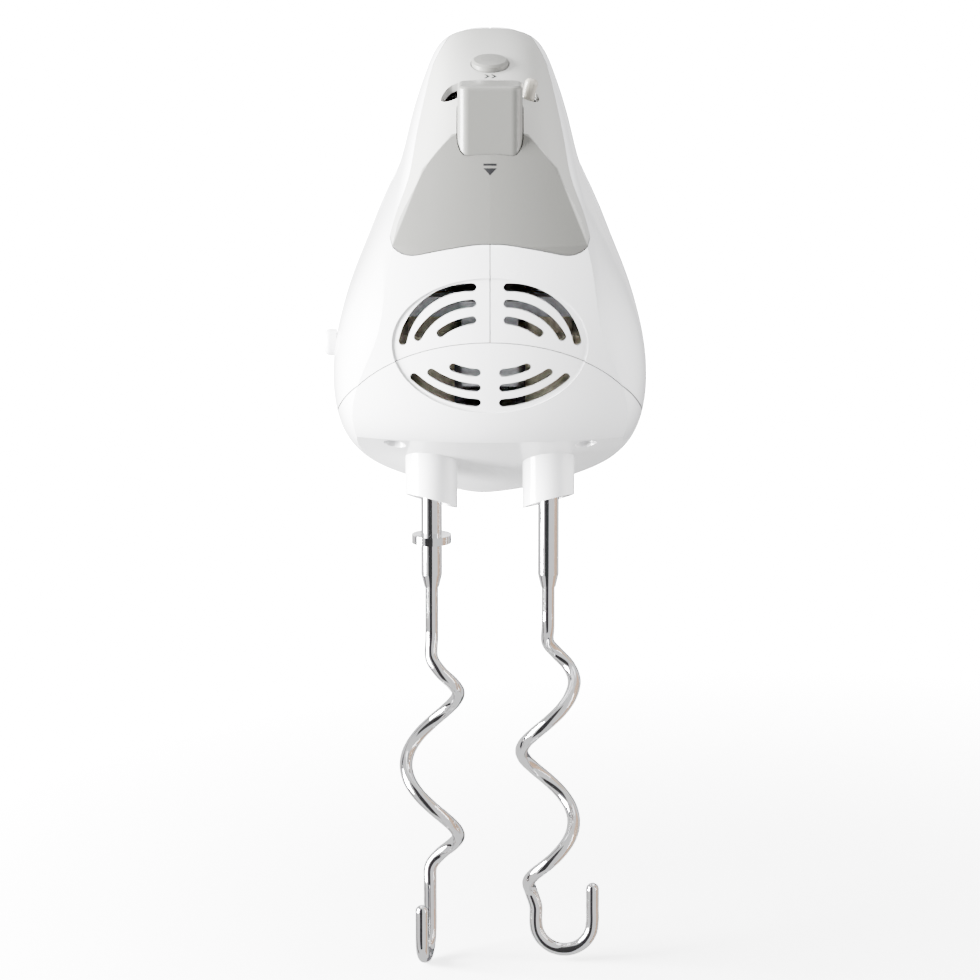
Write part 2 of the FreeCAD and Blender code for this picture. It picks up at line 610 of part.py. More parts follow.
def make_release():
    """Release button, the yoke under it that pushes both hooks out, and its spring."""
    body = doc.addObject("PartDesign::Body", "eject_button_body")
    plane = next(f for f in body.Origin.OriginFeatures if f.Role == "XY_Plane")
    sketch = body.newObject("Sketcher::SketchObject", "button_outline")
    sketch.AttachmentSupport = [(plane, "")]
    sketch.MapMode = "FlatFace"
    half_w, half_d = VALUE["button_width"] / 2, VALUE["button_depth"] / 2
    corners = [Vector(-half_w, -half_d, 0), Vector(half_w, -half_d, 0), Vector(half_w, half_d, 0),
               Vector(-half_w, half_d, 0)]
    for a, b in zip(corners, corners[1:] + corners[:1]):
        sketch.addGeometry(Part.LineSegment(a, b), False)
    for index in range(4):
        sketch.addConstraint(Sketcher.Constraint("Coincident", index, 2, (index + 1) % 4, 1))
    for index, kind in enumerate(("Horizontal", "Vertical", "Horizontal", "Vertical")):
        sketch.addConstraint(Sketcher.Constraint(kind, index))
    wide = sketch.addConstraint(Sketcher.Constraint("DistanceX", 0, 1, 0, 2, 2 * half_w))
    deep = sketch.addConstraint(Sketcher.Constraint("DistanceY", 1, 1, 1, 2, 2 * half_d))
    sketch.addConstraint(Sketcher.Constraint("Symmetric", 0, 1, 1, 2, -1, 1))
    sketch.setExpression("Constraints[%d]" % wide, "dims.button_width")
    sketch.setExpression("Constraints[%d]" % deep, "dims.button_depth")
    pad = body.newObject("PartDesign::Pad", "button_block")
    pad.Profile = sketch
    pad.setExpression("Length", "dims.button_top - %g" % BUTTON_LOW)
    doc.recompute()
    upright = ["Edge%d" % (i + 1) for i, edge in enumerate(pad.Shape.Edges) if abs(edge.tangentAt(0).z) > 0.9]
    corner = body.newObject("PartDesign::Fillet", "button_corners")
    corner.Base, corner.Radius = (pad, upright), 3.4
    doc.recompute()
    top = VALUE["button_top"] - BUTTON_LOW
    rim = ["Edge%d" % (i + 1) for i, edge in enumerate(corner.Shape.Edges)
           if edge.BoundBox.ZMin > top - 0.1]
    soft = body.newObject("PartDesign::Fillet", "button_rim")
    soft.Base, soft.Radius = (corner, rim), 1.3
    body.Tip = soft
    place(body, "0", "dims.button_front + dims.button_depth / 2", "%g" % BUTTON_LOW)
    node("eject_button", body)

    low, high = CROSSBAR
    stem = cylinder("yoke_stem", "%g" % STEM_R, "%g" % (BUTTON_LOW - low), "0", "%g" % STEM_Y, "%g" % low)
    bar = box("yoke_bar", "2 * (dims.axis_x + %g)" % STEM_R, CROSSBAR_DEEP, high - low,
              "-dims.axis_x - %g" % STEM_R, CROSSBAR_FRONT, low)
    pin_low = "dims.hook_top + dims.press_travel + %g" % PIN_GAP
    pins = [cylinder("yoke_pin_%d" % i, "%g" % PIN_R, "%g - (%s)" % (low + 1, pin_low), x, "0", pin_low)
            for i, x in enumerate(("-dims.axis_x", "dims.axis_x"))]
    node("ejector_yoke", fuse("ejector_yoke_shape", [stem, bar] + pins))
    spring = helix_spring(EJECT_COIL_R, EJECT_WIRE_R, BUTTON_LOW - CARRIER_HIGH, EJECT_TURNS)
    spring.translate(Vector(0, STEM_Y, CARRIER_HIGH))
    shaped_node("eject_spring", spring)


def make_carrier():
    """Plate across the front column that holds the switches, the lever's pivot and the springs."""
    thick = CARRIER_HIGH - CARRIER_LOW
    plate = box("carrier_plate", CARRIER_WIDE, CARRIER_DEEP, thick, -CARRIER_WIDE / 2, CARRIER_FRONT,
                CARRIER_LOW)
    pillar = box("carrier_pillar", PILLAR_WIDE, PILLAR_DEEP, PILLAR_TALL, -PILLAR_WIDE / 2, PILLAR_FRONT,
                 CARRIER_HIGH)
    lug = box("carrier_lug", LUG_WIDE, LUG_DEEP, CARRIER_LOW + 1 - LUG_LOW, -LUG_WIDE / 2, LUG_FRONT, LUG_LOW)
    pivot = cylinder("carrier_pivot", PIVOT_R, PIVOT_LEN, 0, PIVOT_FRONT, LEVER_PIVOT_Z, "Y")
    whole = fuse("carrier_whole", [plate, pillar, lug, pivot])
    stem_hole = cylinder("carrier_stem_hole", STEM_R + 0.3, thick + 2, 0, STEM_Y, CARRIER_LOW - 1)
    wide, deep, front = LEVER_WINDOW
    window = box("carrier_window", wide, deep, thick + 2, -wide / 2, front, CARRIER_LOW - 1)
    node("switch_carrier", cut("carrier_shape", whole, fuse("carrier_holes", [stem_hole, window])))


def make_lever():
    """Speed lever with its hub on the pivot and a fin out of the slot, and the switch behind it."""
    hub = Part.makeCylinder(LEVER_HUB_R, LEVER_DEEP, Vector(0, -LEVER_DEEP / 2, 0), Vector(0, 1, 0))
    arm = Part.makeBox(LEVER_ARM, LEVER_DEEP, LEVER_TOP - 8, Vector(-LEVER_ARM / 2, -LEVER_DEEP / 2, 2))
    fin_low = LEVER_TOP - FIN_LEN
    fin = Part.makeBox(LEVER_WIDE, LEVER_DEEP, FIN_LEN, Vector(-LEVER_WIDE / 2, -LEVER_DEEP / 2, fin_low))
    fin = fin.makeFillet(FIN_ROUND, [edge for edge in fin.Edges if edge.BoundBox.ZMax > fin_low + 1])
    pivot_hole = Part.makeCylinder(PIVOT_R + 0.06, 10, Vector(0, -5, 0), Vector(0, 1, 0))
    lever = hub.fuse([arm, fin]).cut(pivot_hole)
    lever.rotate(Vector(), Vector(0, 1, 0), LEVER_REST)
    lever.translate(Vector(0, SLOT_Y, LEVER_PIVOT_Z))
    shaped_node("speed_lever", lever)
    wide, deep, tall, front, low = SPEED_SWITCH
    body = box("speed_switch_body", wide, deep, tall, -wide / 2, front, low)
    wide, deep, tall, front, low = SWITCH_TAB
    tabs = [box("speed_switch_tab_%d" % i, wide, deep, tall, TAB_FIRST + TAB_STEP * i, front, low)
            for i in range(3)]
    node("speed_switch", fuse("speed_switch_shape", [body] + tabs))


def make_boost():
    """Boost button with its plunger, its spring and the switch under it, all square to the crown."""
    tilt = Rotation(Vector(1, 0, 0), VALUE["turbo_tilt"])

    def stand(shape):
        at = Placement(Vector(0, VALUE["turbo_y"], VALUE["turbo_z"]), tilt)
        shape.Placement = at.multiply(shape.Placement)
        return shape

    r = VALUE["turbo_r"]
    plunger_r, flange_r = 1.8, r + 0.9
    cap = revolved([(0, -11.5), (plunger_r, -11.5), (plunger_r, -5), (flange_r, -5), (flange_r, -3.8),
                    (r, -3.8), (r, 0.3), (r - 0.7, 0.9), (r * 0.5, 1.15), (0, 1.25)])
    shaped_node("turbo_button", stand(cap))
    spring = helix_spring(BOOST_COIL_R, BOOST_WIRE_R, BOOST_SPRING_LEN, BOOST_TURNS)
    spring.translate(Vector(0, 0, BOOST_SPRING_LOW))
    shaped_node("turbo_spring", stand(spring))
    wide, deep, tall = 11.0, 10.0, 10.0
    top = BOOST_SPRING_LOW - 0.1
    switch = Part.makeBox(wide, deep, tall, Vector(-wide / 2, -deep / 2, top - tall))
    socket = Part.makeCylinder(plunger_r + 0.15, 5, Vector(0, 0, top - 2.1))
    shaped_node("turbo_switch", stand(switch.cut(socket)))


make_release()
make_carrier()
make_lever()
make_boost()


# ---------------------------------------------------------------- motor

BOLT_Z, BOLT_R = 19.0, 1.6
COIL_THICK, COIL_TALL, COIL_X, COIL_OVER = 4.0, 31.0, 17.6, 5.5
POLE_TALL, YOKE = 20.0, 6.0
ARMATURE_SLOTS, COMMUTATOR_BARS, FAN_BLADES = 12, 24, 12
WINDING_R, WINDING_LEN = 11.6, 5.4
BEARING_LEN, FRONT_BEARING_Y, REAR_BEARING_Y = 4.5, -22.5, 101.0
FRONT_BEARING_R, REAR_BEARING_R = 5.0, 6.0
BRACKET_WIDE, BRACKET_BOSS_R, FRONT_BRACKET_Y = 12.0, 8.5, 39.5
BRUSH_SIDE, BRUSH_LEN, HOLDER_SIDE, HOLDER_LEN = 5.4, 7.0, 7.4, 14.0
BRUSH_START, HOLDER_START = 8.1, 9.0
PLATE_WIDE, PLATE_THICK, PLATE_TALL, PLATE_Y, PLATE_ROUND_R = 52.0, 3.0, 9.0, 97.4, 13.0


def make_motor():
    """Universal motor: stator with two coils, armature, brushes, bearings and brackets."""
    middle = VALUE["motor_z"]
    y0, length = VALUE["stator_y"], VALUE["stator_len"]
    wide, tall, bore = VALUE["stator_width"], VALUE["stator_height"], VALUE["stator_bore_r"]

    def slab(width, height, y, depth):
        return Part.makeBox(width, depth, height, Vector(-width / 2, y, middle - height / 2))

    frame = slab(wide, tall, y0, length)
    frame = frame.makeFillet(5, [edge for edge in frame.Edges if abs(edge.tangentAt(0).y) > 0.9])
    window = slab(wide - 2 * YOKE, tall - 2 * YOKE, y0 - 1, length + 2)
    poles = slab(wide - 2 * YOKE + 2, POLE_TALL, y0, length)
    round_bore = Part.makeCylinder(bore, length + 2, Vector(0, y0 - 1, middle), Vector(0, 1, 0))
    bolts = [Part.makeCylinder(BOLT_R + 0.1, length + 2, Vector(0, y0 - 1, middle + side * BOLT_Z),
                               Vector(0, 1, 0)) for side in (-1, 1)]
    shaped_node("stator_core", frame.cut(window).fuse(poles).cut([round_bore] + bolts))

    coils = []
    for side in (-1, 1):
        x = COIL_X if side > 0 else -COIL_X - COIL_THICK
        outside = Part.makeBox(COIL_THICK, length + 2 * COIL_OVER, COIL_TALL,
                               Vector(x, y0 - COIL_OVER, middle - COIL_TALL / 2))
        outside = outside.makeFillet(3, [edge for edge in outside.Edges if abs(edge.tangentAt(0).x) > 0.9])
        pole_room = Part.makeBox(COIL_THICK + 2, length + 0.6, POLE_TALL + 0.6,
                                 Vector(x - 1, y0 - 0.3, middle - POLE_TALL / 2 - 0.3))
        coils.append(outside.cut(pole_room))
    shaped_node("field_coils", Part.makeCompound(coils))

    def along(outer, inner, y, depth):
        tube = Part.makeCylinder(outer, depth, Vector(0, y, middle), Vector(0, 1, 0))
        return tube.cut(Part.makeCylinder(inner, depth, Vector(0, y, middle), Vector(0, 1, 0)))

    shaft = VALUE["shaft_r"]
    core = along(VALUE["core_r"], shaft, y0, length)
    slots = []
    for index in range(ARMATURE_SLOTS):
        slot = Part.makeBox(1.6, length, 4, Vector(-0.8, y0, middle + VALUE["core_r"] - 2.6))
        slot.rotate(Vector(0, 0, middle), Vector(0, 1, 0), 360.0 / ARMATURE_SLOTS * index)
        slots.append(slot)
    shaped_node("armature_core", core.cut(slots))
    windings = [along(WINDING_R, shaft, y, WINDING_LEN) for y in (y0 - WINDING_LEN, y0 + length)]
    shaped_node("armature_windings", Part.makeCompound(windings))

    start, depth, r = VALUE["commutator_y"], VALUE["commutator_len"], VALUE["commutator_r"]
    bars = []
    for index in range(COMMUTATOR_BARS):
        groove = Part.makeBox(0.4, depth, 1, Vector(-0.2, start, middle + r - 0.7))
        groove.rotate(Vector(0, 0, middle), Vector(0, 1, 0), 360.0 / COMMUTATOR_BARS * index)
        bars.append(groove)
    shaped_node("commutator", along(r, shaft, start, depth).cut(bars))

    start, depth, r = VALUE["fan_y"], VALUE["fan_len"], VALUE["fan_r"]
    blades, hub_r, disc_thick = [], 7.0, 1.5
    for index in range(FAN_BLADES):
        blade = Part.makeBox(1.4, depth - disc_thick, r - hub_r - 0.5,
                             Vector(-0.7, start, middle + hub_r - 0.5))
        blade.rotate(Vector(0, 0, middle), Vector(0, 1, 0), 360.0 / FAN_BLADES * index)
        blades.append(blade)
    disc = along(r, shaft, start + depth - disc_thick, disc_thick)
    hub = along(hub_r, shaft, start, depth)
    shaped_node("cooling_fan", disc.fuse([hub] + blades))

    shaped_node("front_bearing", along(FRONT_BEARING_R, shaft, FRONT_BEARING_Y, BEARING_LEN))
    shaped_node("rear_bearing", along(REAR_BEARING_R, shaft, REAR_BEARING_Y, BEARING_LEN))

    def bracket(y, depth, seat, arm_y, arm_len):
        """A bar across the motor with a seat for the shaft and two arms to the stator."""
        wide, arm_thick = BRACKET_WIDE, 5.0
        bar = Part.makeBox(wide, depth, tall, Vector(-wide / 2, y, middle - tall / 2))
        arms = [Part.makeBox(wide, arm_len, arm_thick, Vector(-wide / 2, arm_y, middle + low))
                for low in (-tall / 2, tall / 2 - arm_thick)]
        boss = Part.makeCylinder(BRACKET_BOSS_R, depth, Vector(0, y, middle), Vector(0, 1, 0))
        holes = [Part.makeCylinder(seat, depth, Vector(0, y, middle), Vector(0, 1, 0))]
        holes += [Part.makeCylinder(BOLT_R + 0.1, 90, Vector(0, 30, middle + side * BOLT_Z), Vector(0, 1, 0))
                  for side in (-1, 1)]
        return bar.fuse(arms + [boss]).cut(holes)

    front_thick, stack_end = 3.0, y0 + length
    front_arm = FRONT_BRACKET_Y + front_thick
    shaped_node("motor_front_bracket", bracket(FRONT_BRACKET_Y, front_thick, 4.0, front_arm, y0 - front_arm))
    shaped_node("motor_rear_bracket", bracket(REAR_BEARING_Y, BEARING_LEN, REAR_BEARING_R, stack_end,
                                              REAR_BEARING_Y - stack_end))
    screws = []
    head_y = REAR_BEARING_Y + BEARING_LEN
    for side in (-1, 1):
        head = Part.makeCylinder(2.8, 2, Vector(0, head_y, middle + side * BOLT_Z), Vector(0, 1, 0))
        shank = Part.makeCylinder(BOLT_R, head_y - FRONT_BRACKET_Y,
                                  Vector(0, FRONT_BRACKET_Y, middle + side * BOLT_Z), Vector(0, 1, 0))
        screws.append(head.fuse(shank))
    shaped_node("stator_screws", Part.makeCompound(screws))
    make_brushes()


def upright_block(side, length, start):
    """A square bar along +Z, centred on the axis."""
    return Part.makeBox(side, side, length, Vector(-side / 2, -side / 2, start))


def make_brushes():
    """Two carbon brushes in their holders with springs, and the plate that carries them."""
    z, middle = "dims.motor_z", VALUE["motor_z"]

    holders, brushes, springs = [], [], []
    brush_y = VALUE["commutator_y"] + VALUE["commutator_len"] / 2
    for side in (-1, 1):
        direction = Vector(side, 0, 0)
        tube = upright_block(HOLDER_SIDE, HOLDER_LEN, HOLDER_START)
        tube = tube.cut(upright_block(BRUSH_SIDE + 0.2, HOLDER_LEN - 1, HOLDER_START))
        brush = upright_block(BRUSH_SIDE, BRUSH_LEN, BRUSH_START)
        coil = helix_spring(1.9, 0.25, 6.8, 5)
        coil.translate(Vector(0, 0, BRUSH_START + BRUSH_LEN))
        for pieces, shape in ((holders, tube), (brushes, brush), (springs, coil)):
            pieces.append(turned_to(shape, direction, Vector(0, brush_y, middle)))
    shaped_node("brush_holders", Part.makeCompound(holders))
    shaped_node("carbon_brushes", Part.makeCompound(brushes))
    shaped_node("brush_springs", Part.makeCompound(springs))
    low, half = "dims.motor_z - %g" % (PLATE_TALL / 2), PLATE_WIDE / 2
    block = box("brush_plate_bar", PLATE_WIDE, PLATE_THICK, PLATE_TALL, -half, PLATE_Y, low)
    round_plate = cylinder("brush_plate_round", PLATE_ROUND_R, PLATE_THICK, 0, PLATE_Y, z, "Y")
    opening = cylinder("brush_plate_hole", "dims.commutator_r + 1.2", PLATE_THICK + 2, 0, PLATE_Y - 1, z, "Y")
    arm_start = "dims.stator_y + dims.stator_len + 0.2"
    arm_len = "%g - (%s)" % (PLATE_Y + 0.2, arm_start)
    arms = [box("brush_plate_arm_%d" % i, PLATE_THICK, arm_len, PLATE_TALL, x, arm_start, low)
            for i, x in enumerate((-half, half - PLATE_THICK))]
    whole = fuse("brush_plate_whole", [block, round_plate] + arms)
    node("brush_plate", cut("brush_plate_shape", whole, opening))


# ---------------------------------------------------------------- worm drive

TEETH = 28
WORM_STARTS = 2
WORM_PITCHES = 3
WORM_PHASE = 90
THREAD_HALF = (0.60, 0.32)
THREAD_SUNK = 0.3
TOOTH_SHARE = (0.29, 0.12)
HUB_R, HUB_PLAY = 7.2, 0.3


def gear_pitch_r():
    """Pitch radius of a worm wheel: what the worm leaves of the distance between their axes."""
    return VALUE["axis_x"] - (VALUE["worm_r"] + VALUE["worm_root_r"]) / 2


def make_worm():
    """Motor shaft with a two-start worm between the wheels."""
    pitch = 2 * math.pi * gear_pitch_r() / TEETH
    lead, half = WORM_STARTS * pitch, WORM_PITCHES * pitch
    root, tip = VALUE["worm_root_r"], VALUE["worm_r"]
    shaft_front, middle = VALUE["shaft_front"], VALUE["motor_z"]
    shaft = Part.makeCylinder(VALUE["shaft_r"], VALUE["shaft_len"])
    threads = []
    for start in range(WORM_STARTS):
        helix = Part.makeLongHelix(lead, 2 * half, root, 0, False)
        wide, narrow = THREAD_HALF
        sunk = root - THREAD_SUNK
        outline = polygon([Vector(sunk, 0, -wide), Vector(tip, 0, -narrow), Vector(tip, 0, narrow),
                           Vector(sunk, 0, wide)])
        thread = Part.Wire(helix.Edges).makePipeShell([outline], True, True)
        thread.rotate(Vector(), Vector(0, 0, 1), 360.0 * start / WORM_STARTS + WORM_PHASE)
        thread.translate(Vector(0, 0, -shaft_front - half))
        threads.append(thread)
    worm = shaft.fuse(threads)
    shaped_node("worm_shaft", turned_to(worm, Vector(0, 1, 0), Vector(0, shaft_front, middle)))


def wheel(turn):
    """A worm wheel with slanted teeth, a hub above and below, turned to mesh."""
    pitch_r, tip, root = gear_pitch_r(), VALUE["gear_r"], VALUE["gear_root_r"]
    width = VALUE["gear_width"]
    lead_slope = WORM_STARTS / TEETH * pitch_r / ((VALUE["worm_r"] + VALUE["worm_root_r"]) / 2)
    twist = math.degrees(lead_slope * width / pitch_r)
    tooth = 360.0 / TEETH

    def outline(z, spin):
        points = []
        for index in range(TEETH):
            centre = math.radians(index * tooth + spin)
            foot, crest = TOOTH_SHARE
            for radius, part in ((root, -foot), (tip, -crest), (tip, crest), (root, foot)):
                angle = centre + math.radians(tooth * part)
                points.append(Vector(radius * math.cos(angle), radius * math.sin(angle), z))
        return polygon(points)

    half = width / 2
    teeth = Part.makeLoft([outline(-half, twist / 2), outline(half, -twist / 2)], True, True)
    teeth.rotate(Vector(), Vector(0, 0, 1), turn)
    low = VALUE["bush_low"] + VALUE["bush_len"] + HUB_PLAY - VALUE["motor_z"]
    high = VALUE["bush_high"] - HUB_PLAY - VALUE["motor_z"]
    hub = Part.makeCylinder(HUB_R, high - low, Vector(0, 0, low))
    return teeth.fuse(hub).cut(Part.makeCylinder(VALUE["spindle_r"], 80, Vector(0, 0, -40)))


SLOT_DEEP, SLOT_WIDE = 8.0, 1.7
CLIP_THICK = 1.0
FRAME_LOWER = (52.8, 30.2, -8.2)
FRAME_UPPER = (54.0, 37.0, -15.0)
FRAME_TONGUE = (17.0, 9.0, -23.0)
FRAME_NOSE = (17.0, 4.5, -22.5, 37.0)
FRAME_POST = (7.0, 4.0, 18.0)
FRAME_POST_X = (-15.0, 8.0)


def make_drive():
    """Both spindles with their wheels, rings and bushes, and the frame that carries them."""
    make_worm()
    z = VALUE["motor_z"]
    mesh_turn = 180.0 / TEETH
    for label, side in (("left", -1), ("right", 1)):
        x = side * VALUE["axis_x"]
        turn = mesh_turn if side < 0 else 180.0 + mesh_turn
        gear = wheel(turn)
        gear.translate(Vector(x, 0, z))
        shaped_node("worm_wheel_" + label, gear)
        at = "%d * dims.axis_x" % side
        tube = ring("spindle_%s_tube" % label, "dims.spindle_r", "dims.spindle_bore_r", "dims.spindle_len",
                    at, "0", "dims.spindle_low")
        keyway = box("spindle_%s_keyway" % label, "2 * dims.spindle_r + 2", SLOT_WIDE, SLOT_DEEP + 1,
                     "%s - dims.spindle_r - 1" % at, -SLOT_WIDE / 2, "dims.spindle_low - 1")
        node("spindle_" + label, cut("spindle_%s_shape" % label, tube, keyway))
        clip = ring("clip_%s" % label, "dims.bush_r - 0.4", "dims.spindle_r", CLIP_THICK, at, "0",
                    "dims.bush_high + dims.bush_len + 0.2")
        node("retaining_ring_" + label, clip)
    bushes = []
    for low in ("dims.bush_low", "dims.bush_high"):
        for side in (-1, 1):
            bushes.append(ring("bush_%s_%d" % (low[-3:], side), "dims.bush_r", "dims.spindle_r + 0.05",
                               "dims.bush_len", "%d * dims.axis_x" % side, "0", low))
    node("spindle_bushes", group("spindle_bush_set", bushes))

    levels = ((FRAME_LOWER, "dims.bush_low"), (FRAME_UPPER, "dims.bush_high"), (FRAME_TONGUE, "dims.bush_high"))
    plates = [box("frame_plate_%d" % i, wide, deep, "dims.bush_len", -wide / 2, front, low)
              for i, ((wide, deep, front), low) in enumerate(levels)]
    wide, deep, front, low = FRAME_NOSE
    nose = box("frame_nose", wide, deep, "dims.bush_high + 5 - %g" % low, -wide / 2, front, low)
    wide, deep, front = FRAME_POST
    posts = [box("frame_post_%d" % i, wide, deep, "dims.bush_high - dims.bush_low", x, front, "dims.bush_low")
             for i, x in enumerate(FRAME_POST_X)]
    whole = fuse("frame_whole", plates + [nose] + posts)
    holes = [cylinder("frame_hole_%d" % i, "dims.bush_r", "dims.spindle_len", x, 0, "dims.bush_low - 5")
             for i, x in enumerate(("-dims.axis_x", "dims.axis_x"))]
    holes.append(cylinder("frame_bearing_hole", FRONT_BEARING_R, BEARING_LEN + 1, 0, FRONT_BEARING_Y - 0.5,
                          "dims.motor_z", "Y"))
    node("gear_frame", cut("gear_frame_shape", whole, fuse("frame_holes", holes)))


make_motor()
make_drive()


# ---------------------------------------------------------------- dough hooks

HELIX_R = 8.3
HELIX_STEP = 30
SWELL = (0.34, 0.66, 0.90)
RUN_SHARE = 0.45
HOOKS = {
    "left": dict(hand=1, start=-90, end=450, side_z=-64.3, pitch=46.5, shank=(-0.8, 6.0), tip=(-3.2, -9.4),
                 low_z=-149.5, tip_rise=9.0),
    "right": dict(hand=-1, start=-90, end=540, side_z=-60.4, pitch=45.6, shank=(-3.6, 0.6), tip=(14.1, -0.6),
                  low_z=-148.0, tip_rise=11.0),
}


def rounded_path(points):
    """Straight runs joined by tangent arcs, each as large as its two runs allow."""
    edges, at = [], points[0]
    for before, corner, after in zip(points, points[1:], points[2:]):
        back, onward = before - corner, after - corner
        half_turn = (math.pi - back.getAngle(onward)) / 2
        if half_turn < math.radians(0.5):
            continue
        reach = RUN_SHARE * min(back.Length, onward.Length)
        radius = reach / math.tan(half_turn)
        back.normalize()
        onward.normalize()
        start, end = corner + back * reach, corner + onward * reach
        inwards = (back + onward).normalize()
        middle = corner + inwards * (radius / math.cos(half_turn) - radius)
        edges += [Part.makeLine(at, start), Part.Arc(start, middle, end).toShape()]
        at = end
    edges.append(Part.makeLine(at, points[-1]))
    return Part.Wire(edges)


def hook_route(hand, start, end, side_z, pitch, shank, tip, low_z, tip_rise):
    """Centre line of a hook's wire: down the axis, round the helix, down the shank and up the J.

    The helix is wound by its hand between two angles and passes the +X side at side_z.
    """
    top = VALUE["hook_step"] - 1.0
    angles = range(start, end + 1, HELIX_STEP)
    first_z = side_z - pitch * start / 360.0
    points = [Vector(0, 0, top), Vector(0, 0, (top + first_z) / 2 - 2), Vector(0, 0, first_z + 6)]
    for index, angle in enumerate(angles):
        radius = HELIX_R
        if index < len(SWELL):
            radius *= SWELL[index]
        left = len(angles) - 1 - index
        turned = math.radians(hand * angle)
        at = Vector(radius * math.cos(turned), radius * math.sin(turned), side_z - pitch * angle / 360.0)
        if left < len(SWELL):
            share = SWELL[left]
            at = Vector(shank[0] + (at.x - shank[0]) * share, shank[1] + (at.y - shank[1]) * share, at.z)
        points.append(at)
    foot, across = Vector(*shank, 0), Vector(*tip, 0) - Vector(*shank, 0)
    half = across.Length / 2
    bend_z = low_z + half
    last_z = points[-1].z
    points += [Vector(*shank, last_z - 5), Vector(*shank, (last_z - 5 + bend_z) / 2)]
    middle, unit = foot + across * 0.5, across.normalize()
    for angle in range(0, 181, 30):
        turned = math.radians(angle)
        points.append(middle + unit * (-half * math.cos(turned))
                      + Vector(0, 0, bend_z - half * math.sin(turned)))
    points += [Vector(*tip, bend_z + tip_rise / 2), Vector(*tip, bend_z + tip_rise)]
    return points


DISC_Z, DISC_R, DISC_LEN = -15.2, 6.1, 2.6
EAR = (9.4, 1.2, 6.0, 4.6)


def make_hook(label, side):
    """One dough hook: keyed shaft, wire and, on the left one, the disc that tells it apart."""
    x = side * VALUE["axis_x"]
    r, wire, step, top = VALUE["hook_shaft_r"], VALUE["wire_r"], VALUE["hook_step"], VALUE["hook_top"]
    shaft = revolved([(0, step - 4), (wire + 0.25, step - 4), (r, step), (r, top - 2.2), (r - 1.4, top),
                      (0, top)])
    wide, deep, tall, low = EAR
    ears = Part.makeBox(wide, deep, tall, Vector(-wide / 2, -deep / 2, low))
    shaft = shaft.fuse(ears)
    shaft = shaft.cut(Part.makeCylinder(wire, 10, Vector(0, 0, step - 11)))
    points = hook_route(**HOOKS[label])
    path = rounded_path(points)
    circle = Part.Wire([Part.makeCircle(wire, points[0], Vector(0, 0, 1))])
    pipe = path.makePipeShell([circle], True, True)
    pipe = pipe.fuse(Part.makeSphere(wire, points[-1]))
    for name, shape in (("shaft", shaft), ("wire", pipe)):
        shape.translate(Vector(x, 0, 0))
        shaped_node("hook_%s_%s" % (label, name), shape)


make_hook("left", -1)
make_hook("right", 1)
node("hook_left_disc", ring("hook_disc", DISC_R, "dims.hook_shaft_r", DISC_LEN, "-dims.axis_x", 0,
                            DISC_Z - DISC_LEN / 2))

doc.recompute()
os.makedirs("parts", exist_ok=True)
for piece in NODES:
    state = set(piece.State)
    if state & {"Invalid", "Error"} or piece.Shape.isNull() or not piece.Shape.isValid():
        raise SystemExit("%s did not build: %s" % (piece.Label, piece.State))
for piece in NODES:
    piece.Shape.exportStep("parts/%s.step" % piece.Label)
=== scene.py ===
import json
import logging
import math
from dataclasses import dataclass, field
from enum import Enum
from typing import Iterable, Mapping, Sequence, Union

import bmesh
import bpy
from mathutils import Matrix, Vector
from mathutils.bvhtree import BVHTree


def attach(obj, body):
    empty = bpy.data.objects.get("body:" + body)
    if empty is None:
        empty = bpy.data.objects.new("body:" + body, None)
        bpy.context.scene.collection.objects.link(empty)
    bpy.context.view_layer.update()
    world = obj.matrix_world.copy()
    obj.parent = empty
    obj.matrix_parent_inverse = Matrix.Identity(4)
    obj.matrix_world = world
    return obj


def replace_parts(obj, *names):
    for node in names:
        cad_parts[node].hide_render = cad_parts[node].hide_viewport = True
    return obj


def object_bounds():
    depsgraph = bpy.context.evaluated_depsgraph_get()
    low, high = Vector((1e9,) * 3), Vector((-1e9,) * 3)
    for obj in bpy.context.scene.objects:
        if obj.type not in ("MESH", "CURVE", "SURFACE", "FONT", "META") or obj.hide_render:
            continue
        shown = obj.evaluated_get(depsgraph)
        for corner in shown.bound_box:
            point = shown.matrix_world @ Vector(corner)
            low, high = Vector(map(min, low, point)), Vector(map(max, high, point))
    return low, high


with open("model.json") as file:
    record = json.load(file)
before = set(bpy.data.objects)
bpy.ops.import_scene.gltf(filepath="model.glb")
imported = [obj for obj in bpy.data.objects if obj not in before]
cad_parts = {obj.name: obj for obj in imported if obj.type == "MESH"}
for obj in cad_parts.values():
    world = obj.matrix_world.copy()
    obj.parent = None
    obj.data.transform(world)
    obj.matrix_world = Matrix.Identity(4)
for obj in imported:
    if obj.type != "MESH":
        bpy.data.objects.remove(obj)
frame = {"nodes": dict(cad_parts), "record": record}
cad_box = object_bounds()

# Looks of a hand mixer with two dough hooks. Metres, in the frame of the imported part: +Z is up,
# the nose with the grille points to -Y and +X is the right-hand side seen from the nose.

log = logging.getLogger("hand_mixer")
MM = 0.001
TOOL_Y = -85 * MM
TOOL_Z = -119 * MM
HOOK_AXIS_X = 18.0


def at_tool(x: float, y: float, z: float) -> Vector:
    """Turn millimetres about the tool point into a place in the frame.

    Args:
        x: Distance to the right of the centre plane.
        y: Distance behind the hook axes.
        z: Height above the collar mouths.

    Returns:
        The same place in metres, in the frame.
    """
    return Vector((x * MM, TOOL_Y + y * MM, TOOL_Z + z * MM))


# ---------------------------------------------------------------- shader writing


@dataclass(frozen=True)
class Colour:
    """A linear colour."""

    red: float
    green: float
    blue: float

    def times(self, share: float) -> "Colour":
        """The same colour, lighter or darker."""
        return Colour(self.red * share, self.green * share, self.blue * share)

    def rgba(self) -> tuple[float, float, float, float]:
        """The colour as a socket takes it."""
        return (self.red, self.green, self.blue, 1.0)


Operand = Union["Link", float, int]


